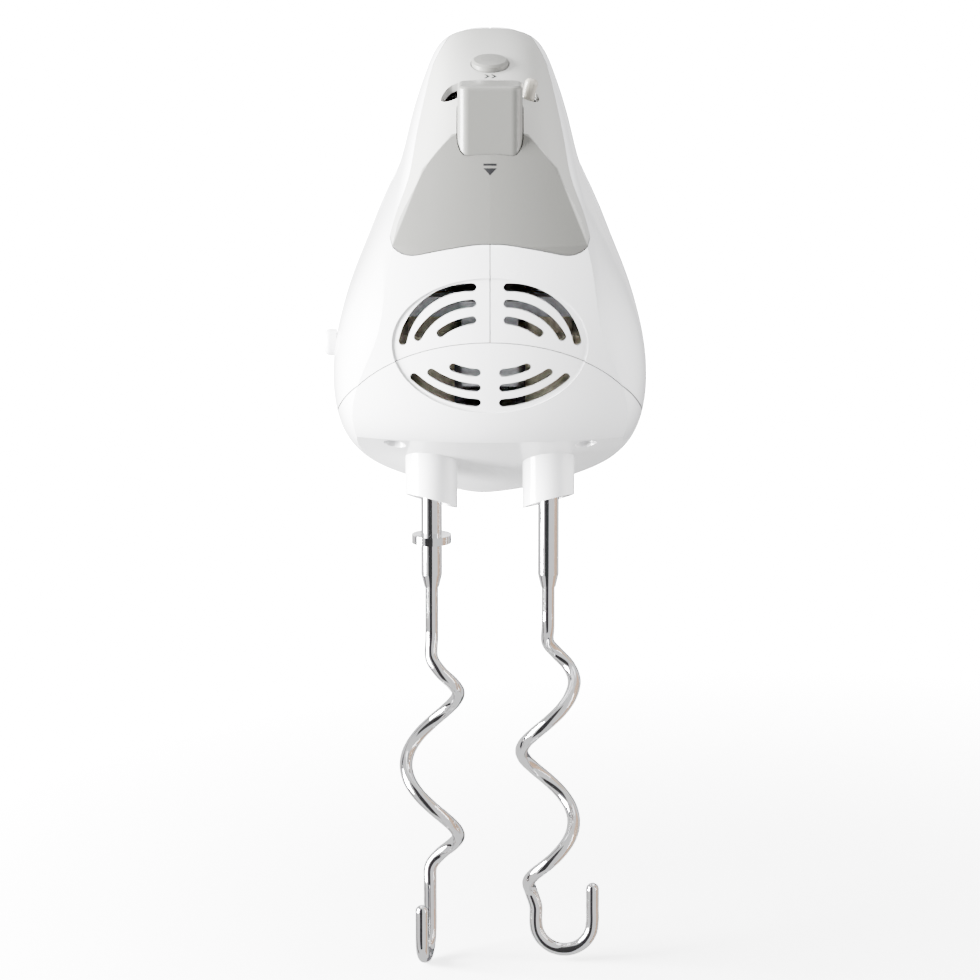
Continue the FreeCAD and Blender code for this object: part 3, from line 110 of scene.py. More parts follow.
class Link:
    """An output socket that joins in arithmetic: each operator adds the Math node it stands for."""

    def __init__(self, shader: "Shader", socket: bpy.types.NodeSocket) -> None:
        """Keep the socket and the shader that it belongs to."""
        self.shader = shader
        self.socket = socket

    def _math(self, operation: str, first: Operand, second: Operand) -> "Link":
        """Add one Math node.

        Args:
            operation: The node's operation.
            first: Its first value.
            second: Its second value.

        Returns:
            The node's result.
        """
        return self.shader.add("ShaderNodeMath", {"operation": operation}, {0: first, 1: second})

    def __add__(self, other: Operand) -> "Link":
        """Sum."""
        return self._math("ADD", self, other)

    def __radd__(self, other: Operand) -> "Link":
        """Sum with a number on the left."""
        return self._math("ADD", other, self)

    def __sub__(self, other: Operand) -> "Link":
        """Difference."""
        return self._math("SUBTRACT", self, other)

    def __rsub__(self, other: Operand) -> "Link":
        """Difference from a number on the left."""
        return self._math("SUBTRACT", other, self)

    def __mul__(self, other: Operand) -> "Link":
        """Product."""
        return self._math("MULTIPLY", self, other)

    def __rmul__(self, other: Operand) -> "Link":
        """Product with a number on the left."""
        return self._math("MULTIPLY", other, self)

    def __truediv__(self, other: Operand) -> "Link":
        """Quotient."""
        return self._math("DIVIDE", self, other)

    def __pow__(self, other: Operand) -> "Link":
        """Power."""
        return self._math("POWER", self, other)

    def __abs__(self) -> "Link":
        """Size without its sign."""
        return self._math("ABSOLUTE", self, 0.0)

    def at_least(self, other: Operand) -> "Link":
        """The larger of two values."""
        return self._math("MAXIMUM", self, other)

    def at_most(self, other: Operand) -> "Link":
        """The smaller of two values."""
        return self._math("MINIMUM", self, other)

    def ramp(self, low: float, high: float) -> "Link":
        """Run smoothly from 0 to 1.

        Args:
            low: The value at which the result is 0.
            high: The value at which the result is 1; it may be below low.

        Returns:
            The share of the way from low to high, eased at both ends.
        """
        ends = {"Value": self, "From Min": low, "From Max": high}
        return self.shader.add("ShaderNodeMapRange", {"interpolation_type": "SMOOTHSTEP"}, ends)


Input = Union[Link, Colour, float, int, Sequence[float]]


class Shader:
    """The node tree of one material."""

    def __init__(self, name: str) -> None:
        """Make an empty material.

        Args:
            name: The material's name.
        """
        self.material = bpy.data.materials.new(name)
        self.material.use_nodes = True
        self.tree = self.material.node_tree
        self.tree.nodes.clear()

    def add(self, kind: str, settings: Mapping[str, object] | None = None,
            inputs: Mapping[int | str, Input] | None = None, output: int | str = 0) -> Link:
        """Add one node.

        Args:
            kind: The node's type.
            settings: Its properties, set before its sockets; "stops" are a ramp's stops.
            inputs: Values or links for its sockets, by name or number.
            output: The output that is handed back.

        Returns:
            That output.
        """
        node = self.tree.nodes.new(kind)
        for name, value in (settings or {}).items():
            if name == "stops":
                self._set_stops(node, value)
            else:
                setattr(node, name, value)
        for name, value in (inputs or {}).items():
            socket = node.inputs[name]
            if isinstance(value, Link):
                self.tree.links.new(value.socket, socket)
            elif isinstance(value, Colour):
                socket.default_value = value.rgba()
            else:
                socket.default_value = value
        return Link(self, node.outputs[output] if len(node.outputs) else None)

    @staticmethod
    def _set_stops(node: bpy.types.Node, stops: Iterable[tuple[float, Colour]]) -> None:
        """Give a colour ramp its stops.

        Args:
            node: The ramp.
            stops: Places from 0 to 1 with their colours, in order.
        """
        elements = node.color_ramp.elements
        stops = list(stops)
        while len(elements) < len(stops):
            elements.new(1.0)
        for element, (place, colour) in zip(elements, stops):
            element.position = place
            element.color = colour.rgba()

    def place(self) -> Link:
        """The point of the surface, in metres."""
        return self.add("ShaderNodeTexCoord", output="Object")

    def axes(self) -> tuple[Link, Link, Link]:
        """The point's three coordinates."""
        node = self.tree.nodes.new("ShaderNodeSeparateXYZ")
        self.tree.links.new(self.place().socket, node.inputs[0])
        return tuple(Link(self, socket) for socket in node.outputs)

    def noise(self, size: float, detail: float = 2.0, stretch: Sequence[float] = (1, 1, 1),
              rough: float = 0.5) -> Link:
        """Cloudy noise.

        Args:
            size: Size of a blotch, in metres.
            detail: Number of finer layers.
            stretch: How much longer a blotch is along each axis.
            rough: Weight of the finer layers.

        Returns:
            Values about 0.5.
        """
        scaled = self.add("ShaderNodeVectorMath", {"operation": "DIVIDE"},
                          {0: self.place(), 1: tuple(size * part for part in stretch)})
        return self.add("ShaderNodeTexNoise", {}, {"Vector": scaled, "Scale": 1.0, "Detail": detail,
                                                   "Roughness": rough})

    def mix(self, factor: Operand, first: Input, second: Input) -> Link:
        """Mix two colours.

        Args:
            factor: Share of the second colour.
            first: The first colour.
            second: The second colour.

        Returns:
            The mixed colour.
        """
        return self.add("ShaderNodeMix", {"data_type": "RGBA"}, {0: factor, 6: first, 7: second}, output=2)

    def bump(self, height: Link, depth: float, strength: float = 1.0) -> Link:
        """Turn a height into a normal.

        Args:
            height: Height, where 1 stands for the depth.
            depth: Depth in metres.
            strength: How much of it shows.

        Returns:
            The normal.
        """
        return self.add("ShaderNodeBump", {}, {"Height": height, "Distance": depth, "Strength": strength})

    def finish(self, **inputs: Input) -> bpy.types.Material:
        """Close the tree with a Principled shader.

        Args:
            **inputs: Its sockets, with an underscore for each space.

        Returns:
            The material.
        """
        named = {name.replace("_", " "): value for name, value in inputs.items()}
        surface = self.add("ShaderNodeBsdfPrincipled", {}, named)
        self.add("ShaderNodeOutputMaterial", {}, {"Surface": surface})
        return self.material


# ---------------------------------------------------------------- finishes


@dataclass(frozen=True)
class Moulded:
    """Injection-moulded plastic with a faint orange peel, cloudy tone and finger marks.

    Attributes:
        colour: The plastic's colour.
        roughness: Roughness where it is clean.
        peel: Depth of the orange peel, in metres.
        peel_size: Size of one dimple.
        cloud: Share by which the tone wanders.
        marks: Extra roughness of finger marks.
        gloss: Weight of the clear top gloss.
    """

    colour: Colour
    roughness: float = 0.24
    peel: float = 0.000012
    peel_size: float = 0.0016
    cloud: float = 0.015
    marks: float = 0.10
    gloss: float = 0.25

    def tone(self, shader: Shader) -> Link:
        """The plastic's colour with its clouds.

        Args:
            shader: The shader it is for.

        Returns:
            The colour.
        """
        cloud = shader.noise(0.030, 3.0)
        return shader.mix(cloud, self.colour.times(1 - self.cloud), self.colour.times(1 + self.cloud))

    def make(self, name: str) -> bpy.types.Material:
        """Make the material.

        Args:
            name: Its name.

        Returns:
            The material.
        """
        shader = Shader(name)
        smear = shader.noise(0.022, 4.0, (1.0, 2.2, 1.4), 0.62).ramp(0.52, 0.78)
        fine = shader.noise(0.0011, 2.0)
        roughness = self.roughness + smear * self.marks + (fine - 0.5) * 0.04
        peel = shader.noise(self.peel_size, 1.5)
        return shader.finish(Base_Color=self.tone(shader), Roughness=roughness,
                             Normal=shader.bump(peel, self.peel), IOR=1.5, Coat_Weight=self.gloss,
                             Coat_Roughness=0.08)


@dataclass(frozen=True)
class CoverPlastic(Moulded):
    """The handle cover's plastic: satin, with painted shade that darkens the facet on the slope below the
    release block.

    Attributes:
        facet_shade: Colour of the painted shade on that facet.
        edges: Half the shaded facet's width at heights above the collar mouths, both in millimetres.
    """

    # painted shade: the facet below the release block is given this darker colour
    facet_shade: Colour = Colour(0.115, 0.115, 0.107)
    edges: tuple[tuple[float, float], ...] = ((80.0, 29.4), (91.4, 24.6), (101.6, 20.4), (111.5, 11.6),
                                              (114.0, 2.0))

    def facet_shade_mask(self, shader: Shader) -> Link:
        """Where the painted shade lies on the facet.

        Args:
            shader: The shader it is for.

        Returns:
            1 on the panel, 0 elsewhere.
        """
        x, y, z = shader.axes()
        height = (z - TOOL_Z) / MM
        half: Operand = 0.0
        for (low, wide), (high, narrow) in zip(self.edges, self.edges[1:]):
            share = ((height - low) / (high - low)).at_least(0.0).at_most(1.0)
            step = share * (narrow - wide)
            half = step + (wide if isinstance(half, float) else half)
        inside = (half - abs(x) / MM).ramp(-0.25, 0.45)
        in_front = ((y - TOOL_Y) / MM).ramp(0.0, -3.0)
        return inside * in_front

    def tone(self, shader: Shader) -> Link:
        """The cover's colour, with painted shade on the facet."""
        plain = Moulded.tone(self, shader)
        # painted shade: the facet is mixed towards the darker colour
        return shader.mix(self.facet_shade_mask(shader), plain, self.facet_shade)


@dataclass(frozen=True)
class Plated:
    """Bright plating with hairlines along one axis.

    Attributes:
        colour: Colour of the plating.
        roughness: Roughness where it is clean.
        grain: Stretch of the hairlines along each axis.
        scratch: Depth of the hairlines, in metres.
    """

    colour: Colour = Colour(0.80, 0.80, 0.81)
    roughness: float = 0.05
    grain: tuple[float, float, float] = (1.0, 1.0, 9.0)
    scratch: float = 0.000001

    def make(self, name: str) -> bpy.types.Material:
        """Make the material.

        Args:
            name: Its name.

        Returns:
            The material.
        """
        shader = Shader(name)
        hair = shader.noise(0.0009, 3.0, self.grain, 0.7)
        haze = shader.noise(0.009, 3.0).ramp(0.5, 0.8)
        colour = shader.mix(haze * 0.5, self.colour, self.colour.times(0.86))
        roughness = self.roughness + haze * 0.05 + (hair - 0.5) * 0.06
        return shader.finish(Base_Color=colour, Metallic=1.0, Roughness=roughness,
                             Normal=shader.bump(hair, self.scratch))


@dataclass(frozen=True)
class Stacked:
    """Punched sheets stacked along Y, as in a motor's core.

    Attributes:
        colour: Colour of the sheet.
        sheet: Thickness of one sheet.
    """

    colour: Colour = Colour(0.20, 0.19, 0.19)
    sheet: float = 0.0006

    def make(self, name: str) -> bpy.types.Material:
        """Make the material.

        Args:
            name: Its name.

        Returns:
            The material.
        """
        shader = Shader(name)
        _x, y, _z = shader.axes()
        wave = shader.add("ShaderNodeMath", {"operation": "SINE"}, {0: y * (2 * math.pi / self.sheet)})
        blue = shader.noise(0.006, 3.0)
        colour = shader.mix(blue, self.colour, Colour(0.13, 0.12, 0.14))
        return shader.finish(Base_Color=colour, Metallic=0.8, Roughness=0.42 + blue * 0.2,
                             Normal=shader.bump(wave * 0.5 + 0.5, 0.00008))


@dataclass(frozen=True)
class Wound:
    """Enamelled wire wound in rows, with painted shade in the grooves between them.

    Attributes:
        colour: Colour of the enamel.
        wire: Pitch of the rows.
    """

    colour: Colour = Colour(0.42, 0.16, 0.06)
    wire: float = 0.0005

    def make(self, name: str) -> bpy.types.Material:
        """Make the material.

        Args:
            name: Its name.

        Returns:
            The material.
        """
        shader = Shader(name)
        _x, y, z = shader.axes()
        wobble = shader.noise(0.004, 2.0) * self.wire
        rows = shader.add("ShaderNodeMath", {"operation": "SINE"}, {0: (y + z + wobble) * (4.4 / self.wire)})
        # painted shade: the enamel is darker in the grooves between the rows
        colour = shader.mix(rows * 0.5 + 0.5, self.colour.times(0.45), self.colour)
        return shader.finish(Base_Color=colour, Metallic=0.55, Roughness=0.34,
                             Normal=shader.bump(rows * 0.5 + 0.5, 0.00015), Coat_Weight=0.5)


@dataclass(frozen=True)
class Turned:
    """Machined or pressed metal with fine tool marks.

    Attributes:
        colour: Colour of the metal.
        roughness: Middle of its roughness.
        marks: Stretch of the tool marks along each axis.
        metal: How metallic it is.
    """

    colour: Colour
    roughness: float = 0.32
    marks: tuple[float, float, float] = (6.0, 6.0, 0.6)
    metal: float = 1.0

    def make(self, name: str) -> bpy.types.Material:
        """Make the material.

        Args:
            name: Its name.

        Returns:
            The material.
        """
        shader = Shader(name)
        line = shader.noise(0.0007, 3.0, self.marks, 0.65)
        tint = shader.noise(0.008, 3.0)
        colour = shader.mix(tint, self.colour.times(0.82), self.colour.times(1.08))
        roughness = self.roughness + (line - 0.5) * 0.22
        return shader.finish(Base_Color=colour, Metallic=self.metal, Roughness=roughness,
                             Normal=shader.bump(line, 0.00002))


@dataclass(frozen=True)
class PadPrint:
    """Matt ink printed on plastic, a little thin in places."""

    colour: Colour = Colour(0.006, 0.006, 0.007)

    def make(self, name: str) -> bpy.types.Material:
        """Make the material.

        Args:
            name: Its name.

        Returns:
            The material.
        """
        shader = Shader(name)
        thin = shader.noise(0.0006, 3.0).ramp(0.55, 0.85)
        colour = shader.mix(thin, self.colour, self.colour.times(2.6))
        return shader.finish(Base_Color=colour, Roughness=0.6 + thin * 0.1, IOR=1.3)


@dataclass(frozen=True)
class Paper:
    """Seamless white paper of the floor and backdrop, glowing as if lit from behind, with painted shade where
    the glow is dimmed round the mixer.

    Attributes:
        colour: Colour of the paper.
        glow: Strength of the light behind it.
        painted_shade_centre: Place of the floor, in metres, where the glow is dimmest: painted shade, weak
            enough that the cast shadows show.
        painted_shade_share: Share of the glow that is left there.
    """

    colour: Colour = Colour(0.93, 0.93, 0.93)
    glow: float = 30.0
    painted_shade_centre: tuple[float, float] = (0.08, -0.05)
    painted_shade_share: float = 0.07

    def make(self, name: str) -> bpy.types.Material:
        """Make the material.

        Args:
            name: Its name.

        Returns:
            The material.
        """
        shader = Shader(name)
        cloud = shader.noise(0.6, 3.0)
        colour = shader.mix(cloud, self.colour.times(0.99), self.colour)
        x, y, z = shader.axes()
        away = (x - self.painted_shade_centre[0]) ** 2.0 + (y - self.painted_shade_centre[1]) ** 2.0 + (z - cad_box[0].z) ** 2.0
        # painted shade: the glow fades to a darker floor round the mixer
        lit = shader.mix((away ** 0.5).ramp(0.05, 0.75), self.colour.times(self.painted_shade_share), self.colour)
        return shader.finish(Base_Color=colour, Roughness=0.62 + cloud * 0.1, Emission_Color=lit,
                             Emission_Strength=self.glow)


Finish = Union[Moulded, Plated, Stacked, Wound, Turned, PadPrint, Paper]

FINISHES: dict[str, Finish] = {
    "white_plastic": Moulded(Colour(0.86, 0.86, 0.87), roughness=0.20, peel=0.000006, gloss=0.6),
    "grey_plastic": CoverPlastic(Colour(0.30, 0.30, 0.288), roughness=0.36, peel=0.00002, peel_size=0.0007,
                                 marks=0.06, gloss=0.08),
    "light_grey_button": Moulded(Colour(0.125, 0.125, 0.117), roughness=0.30, peel=0.00001, peel_size=0.0008,
                                 marks=0.08, gloss=0.15),
    "cream_plastic": Moulded(Colour(0.27, 0.255, 0.222), roughness=0.28),
    "stud_plastic": Moulded(Colour(0.86, 0.86, 0.87), roughness=0.22),
    "black_plastic": Moulded(Colour(0.03, 0.03, 0.032), roughness=0.42, peel=0.00004, gloss=0.0),
    "nylon": Moulded(Colour(0.62, 0.58, 0.46), roughness=0.44, peel=0.00003, gloss=0.0),
    "disc_plastic": Plated(roughness=0.05, grain=(1.0, 1.0, 1.0), scratch=0.000001),
    "rubber_bush": Moulded(Colour(0.66, 0.66, 0.64), roughness=0.58, peel=0.00005, peel_size=0.0006,
                           gloss=0.0),
    "hook_steel": Plated(),
    "steel": Turned(Colour(0.50, 0.50, 0.51)),
    "spring_steel": Turned(Colour(0.42, 0.42, 0.44), roughness=0.26),
    "lamination_steel": Stacked(),
    "copper_winding": Wound(),
    "commutator_copper": Turned(Colour(0.60, 0.30, 0.16), roughness=0.30, marks=(6.0, 0.6, 6.0)),
    "brass": Turned(Colour(0.62, 0.47, 0.20), roughness=0.34),
    "bronze_bush": Turned(Colour(0.45, 0.31, 0.14), roughness=0.46),
    "carbon": Turned(Colour(0.03, 0.03, 0.03), roughness=0.55, metal=0.2),
    "zinc": Turned(Colour(0.42, 0.43, 0.45), roughness=0.48, marks=(1.0, 1.0, 1.0)),
}

EXTRA_FINISHES: dict[str, Finish] = {
    "print": PadPrint(),
    "paper": Paper(),
    "flag": Turned(Colour(0.004, 0.004, 0.005), roughness=0.9, metal=0.0),
    "warm_flag": Turned(Colour(0.06, 0.036, 0.02), roughness=0.9, metal=0.0),
}


class Wardrobe:
    """Every finish, made once and handed out by the name of its slot."""

    def __init__(self, finishes: Mapping[str, Finish]) -> None:
        """Keep the finishes.

        Args:
            finishes: Finishes by the name of their slot.
        """
        self.finishes = finishes
        self.made: dict[str, bpy.types.Material] = {}

    def __getitem__(self, slot: str) -> bpy.types.Material:
        """The material of a slot, made when it is first asked for."""
        if slot not in self.made:
            self.made[slot] = self.finishes[slot].make(slot)
        return self.made[slot]

    def dress(self, thing: bpy.types.Object, slot: str) -> bpy.types.Object:
        """Put a slot's material on an object.

        Args:
            thing: The object.
            slot: The slot's name.

        Returns:
            The object.
        """
        thing.data.materials.clear()
        thing.data.materials.append(self[slot])
        return thing


# ---------------------------------------------------------------- mesh making


def new_object(name: str, mesh: bmesh.types.BMesh, smooth: bool = True) -> bpy.types.Object:
    """Turn a bmesh into an object of the scene.

    Args:
        name: The object's name.
        mesh: Its mesh, which is used up.
        smooth: Whether its faces are shaded smooth.

    Returns:
        The object.
    """
    bmesh.ops.recalc_face_normals(mesh, faces=mesh.faces)
    for face in mesh.faces:
        face.smooth = smooth
    data = bpy.data.meshes.new(name)
    mesh.to_mesh(data)
    mesh.free()
    made = bpy.data.objects.new(name, data)
    bpy.context.scene.collection.objects.link(made)
    return made


def through(points: Sequence[Vector], steps: int) -> list[Vector]:
    """A smooth line through points.

    Args:
        points: The points, in order.
        steps: Samples from each point to the next.

    Returns:
        Points along a centripetal spline.
    """
    padded = [points[0] * 2 - points[1], *points, points[-1] * 2 - points[-2]]
    line = []
    for p0, p1, p2, p3 in zip(padded, padded[1:], padded[2:], padded[3:]):
        times = [0.0]
        for a, b in ((p0, p1), (p1, p2), (p2, p3)):
            times.append(times[-1] + math.sqrt((b - a).length))
        t0, t1, t2, t3 = times
        for step in range(steps):
            t = t1 + (t2 - t1) * step / steps
            a1 = p0 * ((t1 - t) / (t1 - t0)) + p1 * ((t - t0) / (t1 - t0))
            a2 = p1 * ((t2 - t) / (t2 - t1)) + p2 * ((t - t1) / (t2 - t1))
            a3 = p2 * ((t3 - t) / (t3 - t2)) + p3 * ((t - t2) / (t3 - t2))
            b1 = a1 * ((t2 - t) / (t2 - t0)) + a2 * ((t - t0) / (t2 - t0))
            b2 = a2 * ((t3 - t) / (t3 - t1)) + a3 * ((t - t1) / (t3 - t1))
            line.append(b1 * ((t2 - t) / (t2 - t1)) + b2 * ((t - t1) / (t2 - t1)))
    return line + [points[-1].copy()]


def tube(line: Sequence[Vector], radius: float, sides: int = 20, round_end: int = 5) -> bmesh.types.BMesh:
    """A round bar along a line, with a domed far end.

    Args:
        line: Points of its centre line.
        radius: Radius of the bar.
        sides: Points round it.
        round_end: Rings in the dome.

    Returns:
        The mesh.
    """
    mesh = bmesh.new()
    tangents = [(b - a).normalized() for a, b in zip(line, line[1:])]
    tangents.append(tangents[-1])
    across = tangents[0].orthogonal().normalized()
    rings: list[tuple[Vector, Vector, Vector, float]] = []
    for point, tangent in zip(line, tangents):
        across = (across - tangent * across.dot(tangent)).normalized()
        rings.append((point, across, tangent.cross(across), radius))
    end, along = line[-1], tangents[-1]
    for index in range(1, round_end):
        turn = math.pi / 2 * index / round_end
        centre = end + along * radius * math.sin(turn)
        rings.append((centre, across, along.cross(across), radius * math.cos(turn)))
    loops = []
    for point, u, v, size in rings:
        loops.append([mesh.verts.new(point + (u * math.cos(a) + v * math.sin(a)) * size)
                      for a in (2 * math.pi * i / sides for i in range(sides))])
    for low, high in zip(loops, loops[1:]):
        for i in range(sides):
            j = (i + 1) % sides
            mesh.faces.new((low[i], low[j], high[j], high[i]))
    mesh.faces.new(list(reversed(loops[0])))
    tip = mesh.verts.new(end + along * radius)
    for i in range(sides):
        mesh.faces.new((loops[-1][i], loops[-1][(i + 1) % sides], tip))
    return mesh


# ---------------------------------------------------------------- dough hooks


class Hand(Enum):
    """Which way a hook's wire winds."""

    RIGHT = 1
    LEFT = -1


@dataclass
class DoughHook:
    """The wire of one dough hook: straight neck, helix, shank and J.

    Attributes:
        name: Which hook it is.
        body: Body that it moves with.
        node: CAD piece that it stands for.
        axis_x: Its axis, right of the centre plane.
        hand: Which way the wire winds.
        turned: Angle at which the helix ends, in degrees from the +X side.
        side_z: Height at which the helix first passes the +X side, in mm from the collar mouths.
        pitch: Climb of one turn, in mm.
        shank: Where the shank stands from the axis, in mm.
        tip: Where the J's tip stands from the axis, in mm.
        low_z: Lowest point of the wire's centre line, in mm.
        tip_rise: How far the tip stands above the bend, in mm.
        wire_r: Radius of the wire, in mm.
        neck_z: Height of the wire's top end, in mm.
        helix_r: Radius of the helix, in mm.
        first: Angle at which the helix starts, in degrees from the +X side.
        step: Degrees from one point of the helix to the next.
        swell: Shares of the helix's radius at its first points, and of its own place at its last ones.
        straight: Length of straight wire above and below the helix, in mm.
    """

    name: str
    body: str
    node: str
    axis_x: float
    hand: Hand
    turned: int
    side_z: float
    pitch: float
    shank: tuple[float, float]
    tip: tuple[float, float]
    low_z: float
    tip_rise: float
    wire_r: float = 2.05
    neck_z: float = -27.5
    helix_r: float = 8.15
    first: int = -90
    step: int = 30
    swell: tuple[float, ...] = (0.34, 0.66, 0.90)
    straight: tuple[float, float] = (6.0, 5.0)

    def route(self) -> list[Vector]:
        """Points of the wire's centre line, in mm about the hook's axis.

        Returns:
            The points from the neck down to the tip.
        """
        first_z = self.side_z - self.pitch * self.first / 360
        points = [Vector((0, 0, self.neck_z)), Vector((0, 0, (self.neck_z + first_z) / 2)),
                  Vector((0, 0, first_z + self.straight[0]))]
        angles = range(self.first, self.turned + 1, self.step)
        for index, angle in enumerate(angles):
            left = len(angles) - 1 - index
            radius = self.helix_r * (self.swell[index] if index < len(self.swell) else 1.0)
            turn = math.radians(self.hand.value * angle)
            x, y = radius * math.cos(turn), radius * math.sin(turn)
            if left < len(self.swell):
                share = self.swell[left]
                x = self.shank[0] + (x - self.shank[0]) * share
                y = self.shank[1] + (y - self.shank[1]) * share
            points.append(Vector((x, y, self.side_z - self.pitch * angle / 360)))
        return points + self.bend(points[-1].z)

    def bend(self, last_z: float) -> list[Vector]:
        """The shank below the helix and the J at its foot.

        Args:
            last_z: Height of the helix's last point.

        Returns:
            Points from the shank to the tip.
        """
        foot, end = Vector((*self.shank, 0)), Vector((*self.tip, 0))
        half = (end - foot).length / 2
        middle, unit = (foot + end) / 2, (end - foot).normalized()
        bend_z = self.low_z + half
        shank_z = last_z - self.straight[1]
        points = [foot + Vector((0, 0, shank_z)), foot + Vector((0, 0, (shank_z + bend_z) / 2))]
        for angle in range(0, 181, 20):
            turn = math.radians(angle)
            drop = Vector((0, 0, bend_z - half * math.sin(turn)))
            points.append(middle - unit * half * math.cos(turn) + drop)
        return points + [end + Vector((0, 0, bend_z + self.tip_rise * share)) for share in (0.5, 1.0)]

    def build(self, wardrobe: Wardrobe) -> bpy.types.Object:
        """Make the wire and hang it on its body.

        Args:
            wardrobe: The finishes.

        Returns:
            The wire.
        """
        line = [at_tool(self.axis_x + p.x, p.y, p.z) for p in through(self.route(), 8)]
        wire = new_object(self.name, tube(line, self.wire_r * MM))
        wardrobe.dress(wire, "hook_steel")
        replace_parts(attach(wire, self.body), self.node)
        return wire


# ---------------------------------------------------------------- printed marks


class Mark(Enum):
    """Generic signs that a control can carry."""

    RELEASE = "release"
    BOOST = "boost"


@dataclass
class PrintedMarks:
    """Signs printed on the handle cover beside its controls.

    Attributes:
        surface: CAD piece that carries the print.
        ink: How far the ink stands off the plastic.
        stroke: Width of a line, in mm.
    """

    surface: str = "handle_cover"
    ink: float = 0.00004
    stroke: float = 0.75

    def shapes(self, mark: Mark) -> list[list[tuple[float, float]]]:
        """Outlines of a sign.

        Args:
            mark: Which sign.

        Returns:
            Convex outlines in mm, across and along the surface.
        """
        s = self.stroke
        if mark is Mark.RELEASE:
            arrow = [(-2.0, -0.2), (2.0, -0.2), (0.0, -2.5)]
            bar = [(-2.0, 1.3), (-2.0, 0.6), (2.0, 0.6), (2.0, 1.3)]
            return [arrow, bar]
        outlines = []
        for start in (-1.9, 0.2):
            for side in (1, -1):
                outlines.append([(start, side * 1.0), (start + s, side * 1.0), (start + 1.1 + s, 0.0),
                                 (start + 1.1, 0.0)])
        return outlines

    def build(self, name: str, mark: Mark, centre: Vector, along: Vector,
              wardrobe: Wardrobe) -> bpy.types.Object:
        """Print one sign on the surface.

        Args:
            name: The object's name.
            mark: Which sign.
            centre: A point above the place of the sign.
            along: Direction along the surface that is the sign's upward one.
            wardrobe: The finishes.

        Returns:
            The print.
        """
        across = Vector((1, 0, 0))
        along = along.normalized()
        outward = across.cross(along).normalized()
        node = frame["nodes"][self.surface]
        points = [v.co for v in node.data.vertices]
        tree = BVHTree.FromPolygons(points, [p.vertices for p in node.data.polygons])
        mesh = bmesh.new()
        for outline in self.shapes(mark):
            corners = [mesh.verts.new(centre + (across * u + along * v) * MM) for u, v in outline]
            mesh.faces.new(corners)
        for _round in range(3):
            bmesh.ops.subdivide_edges(mesh, edges=list(mesh.edges), cuts=1, use_grid_fill=True)
        bmesh.ops.triangulate(mesh, faces=mesh.faces)
        for vert in mesh.verts:
            hit, _normal, _index, _distance = tree.ray_cast(vert.co + outward * 0.02, -outward)
            if hit is not None:
                vert.co = hit + outward * self.ink
        print_piece = wardrobe.dress(new_object(name, mesh), "print")
        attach(print_piece, "housing")
        return print_piece


# ---------------------------------------------------------------- carried-over pieces


@dataclass
class CarriedPieces:
    """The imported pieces, each with the finish of its slot."""

    record: Mapping[str, object]
    nodes: Mapping[str, bpy.types.Object]

    def dress(self, wardrobe: Wardrobe) -> None:
        """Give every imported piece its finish.

        Args:
            wardrobe: The finishes.
        """
        for part in self.record["subparts"]:
            node = self.nodes[part["node"]]
            wardrobe.dress(node, part["material_slot"])
            log.info("%s wears %s", part["node"], part["material_slot"])


# ---------------------------------------------------------------- studio


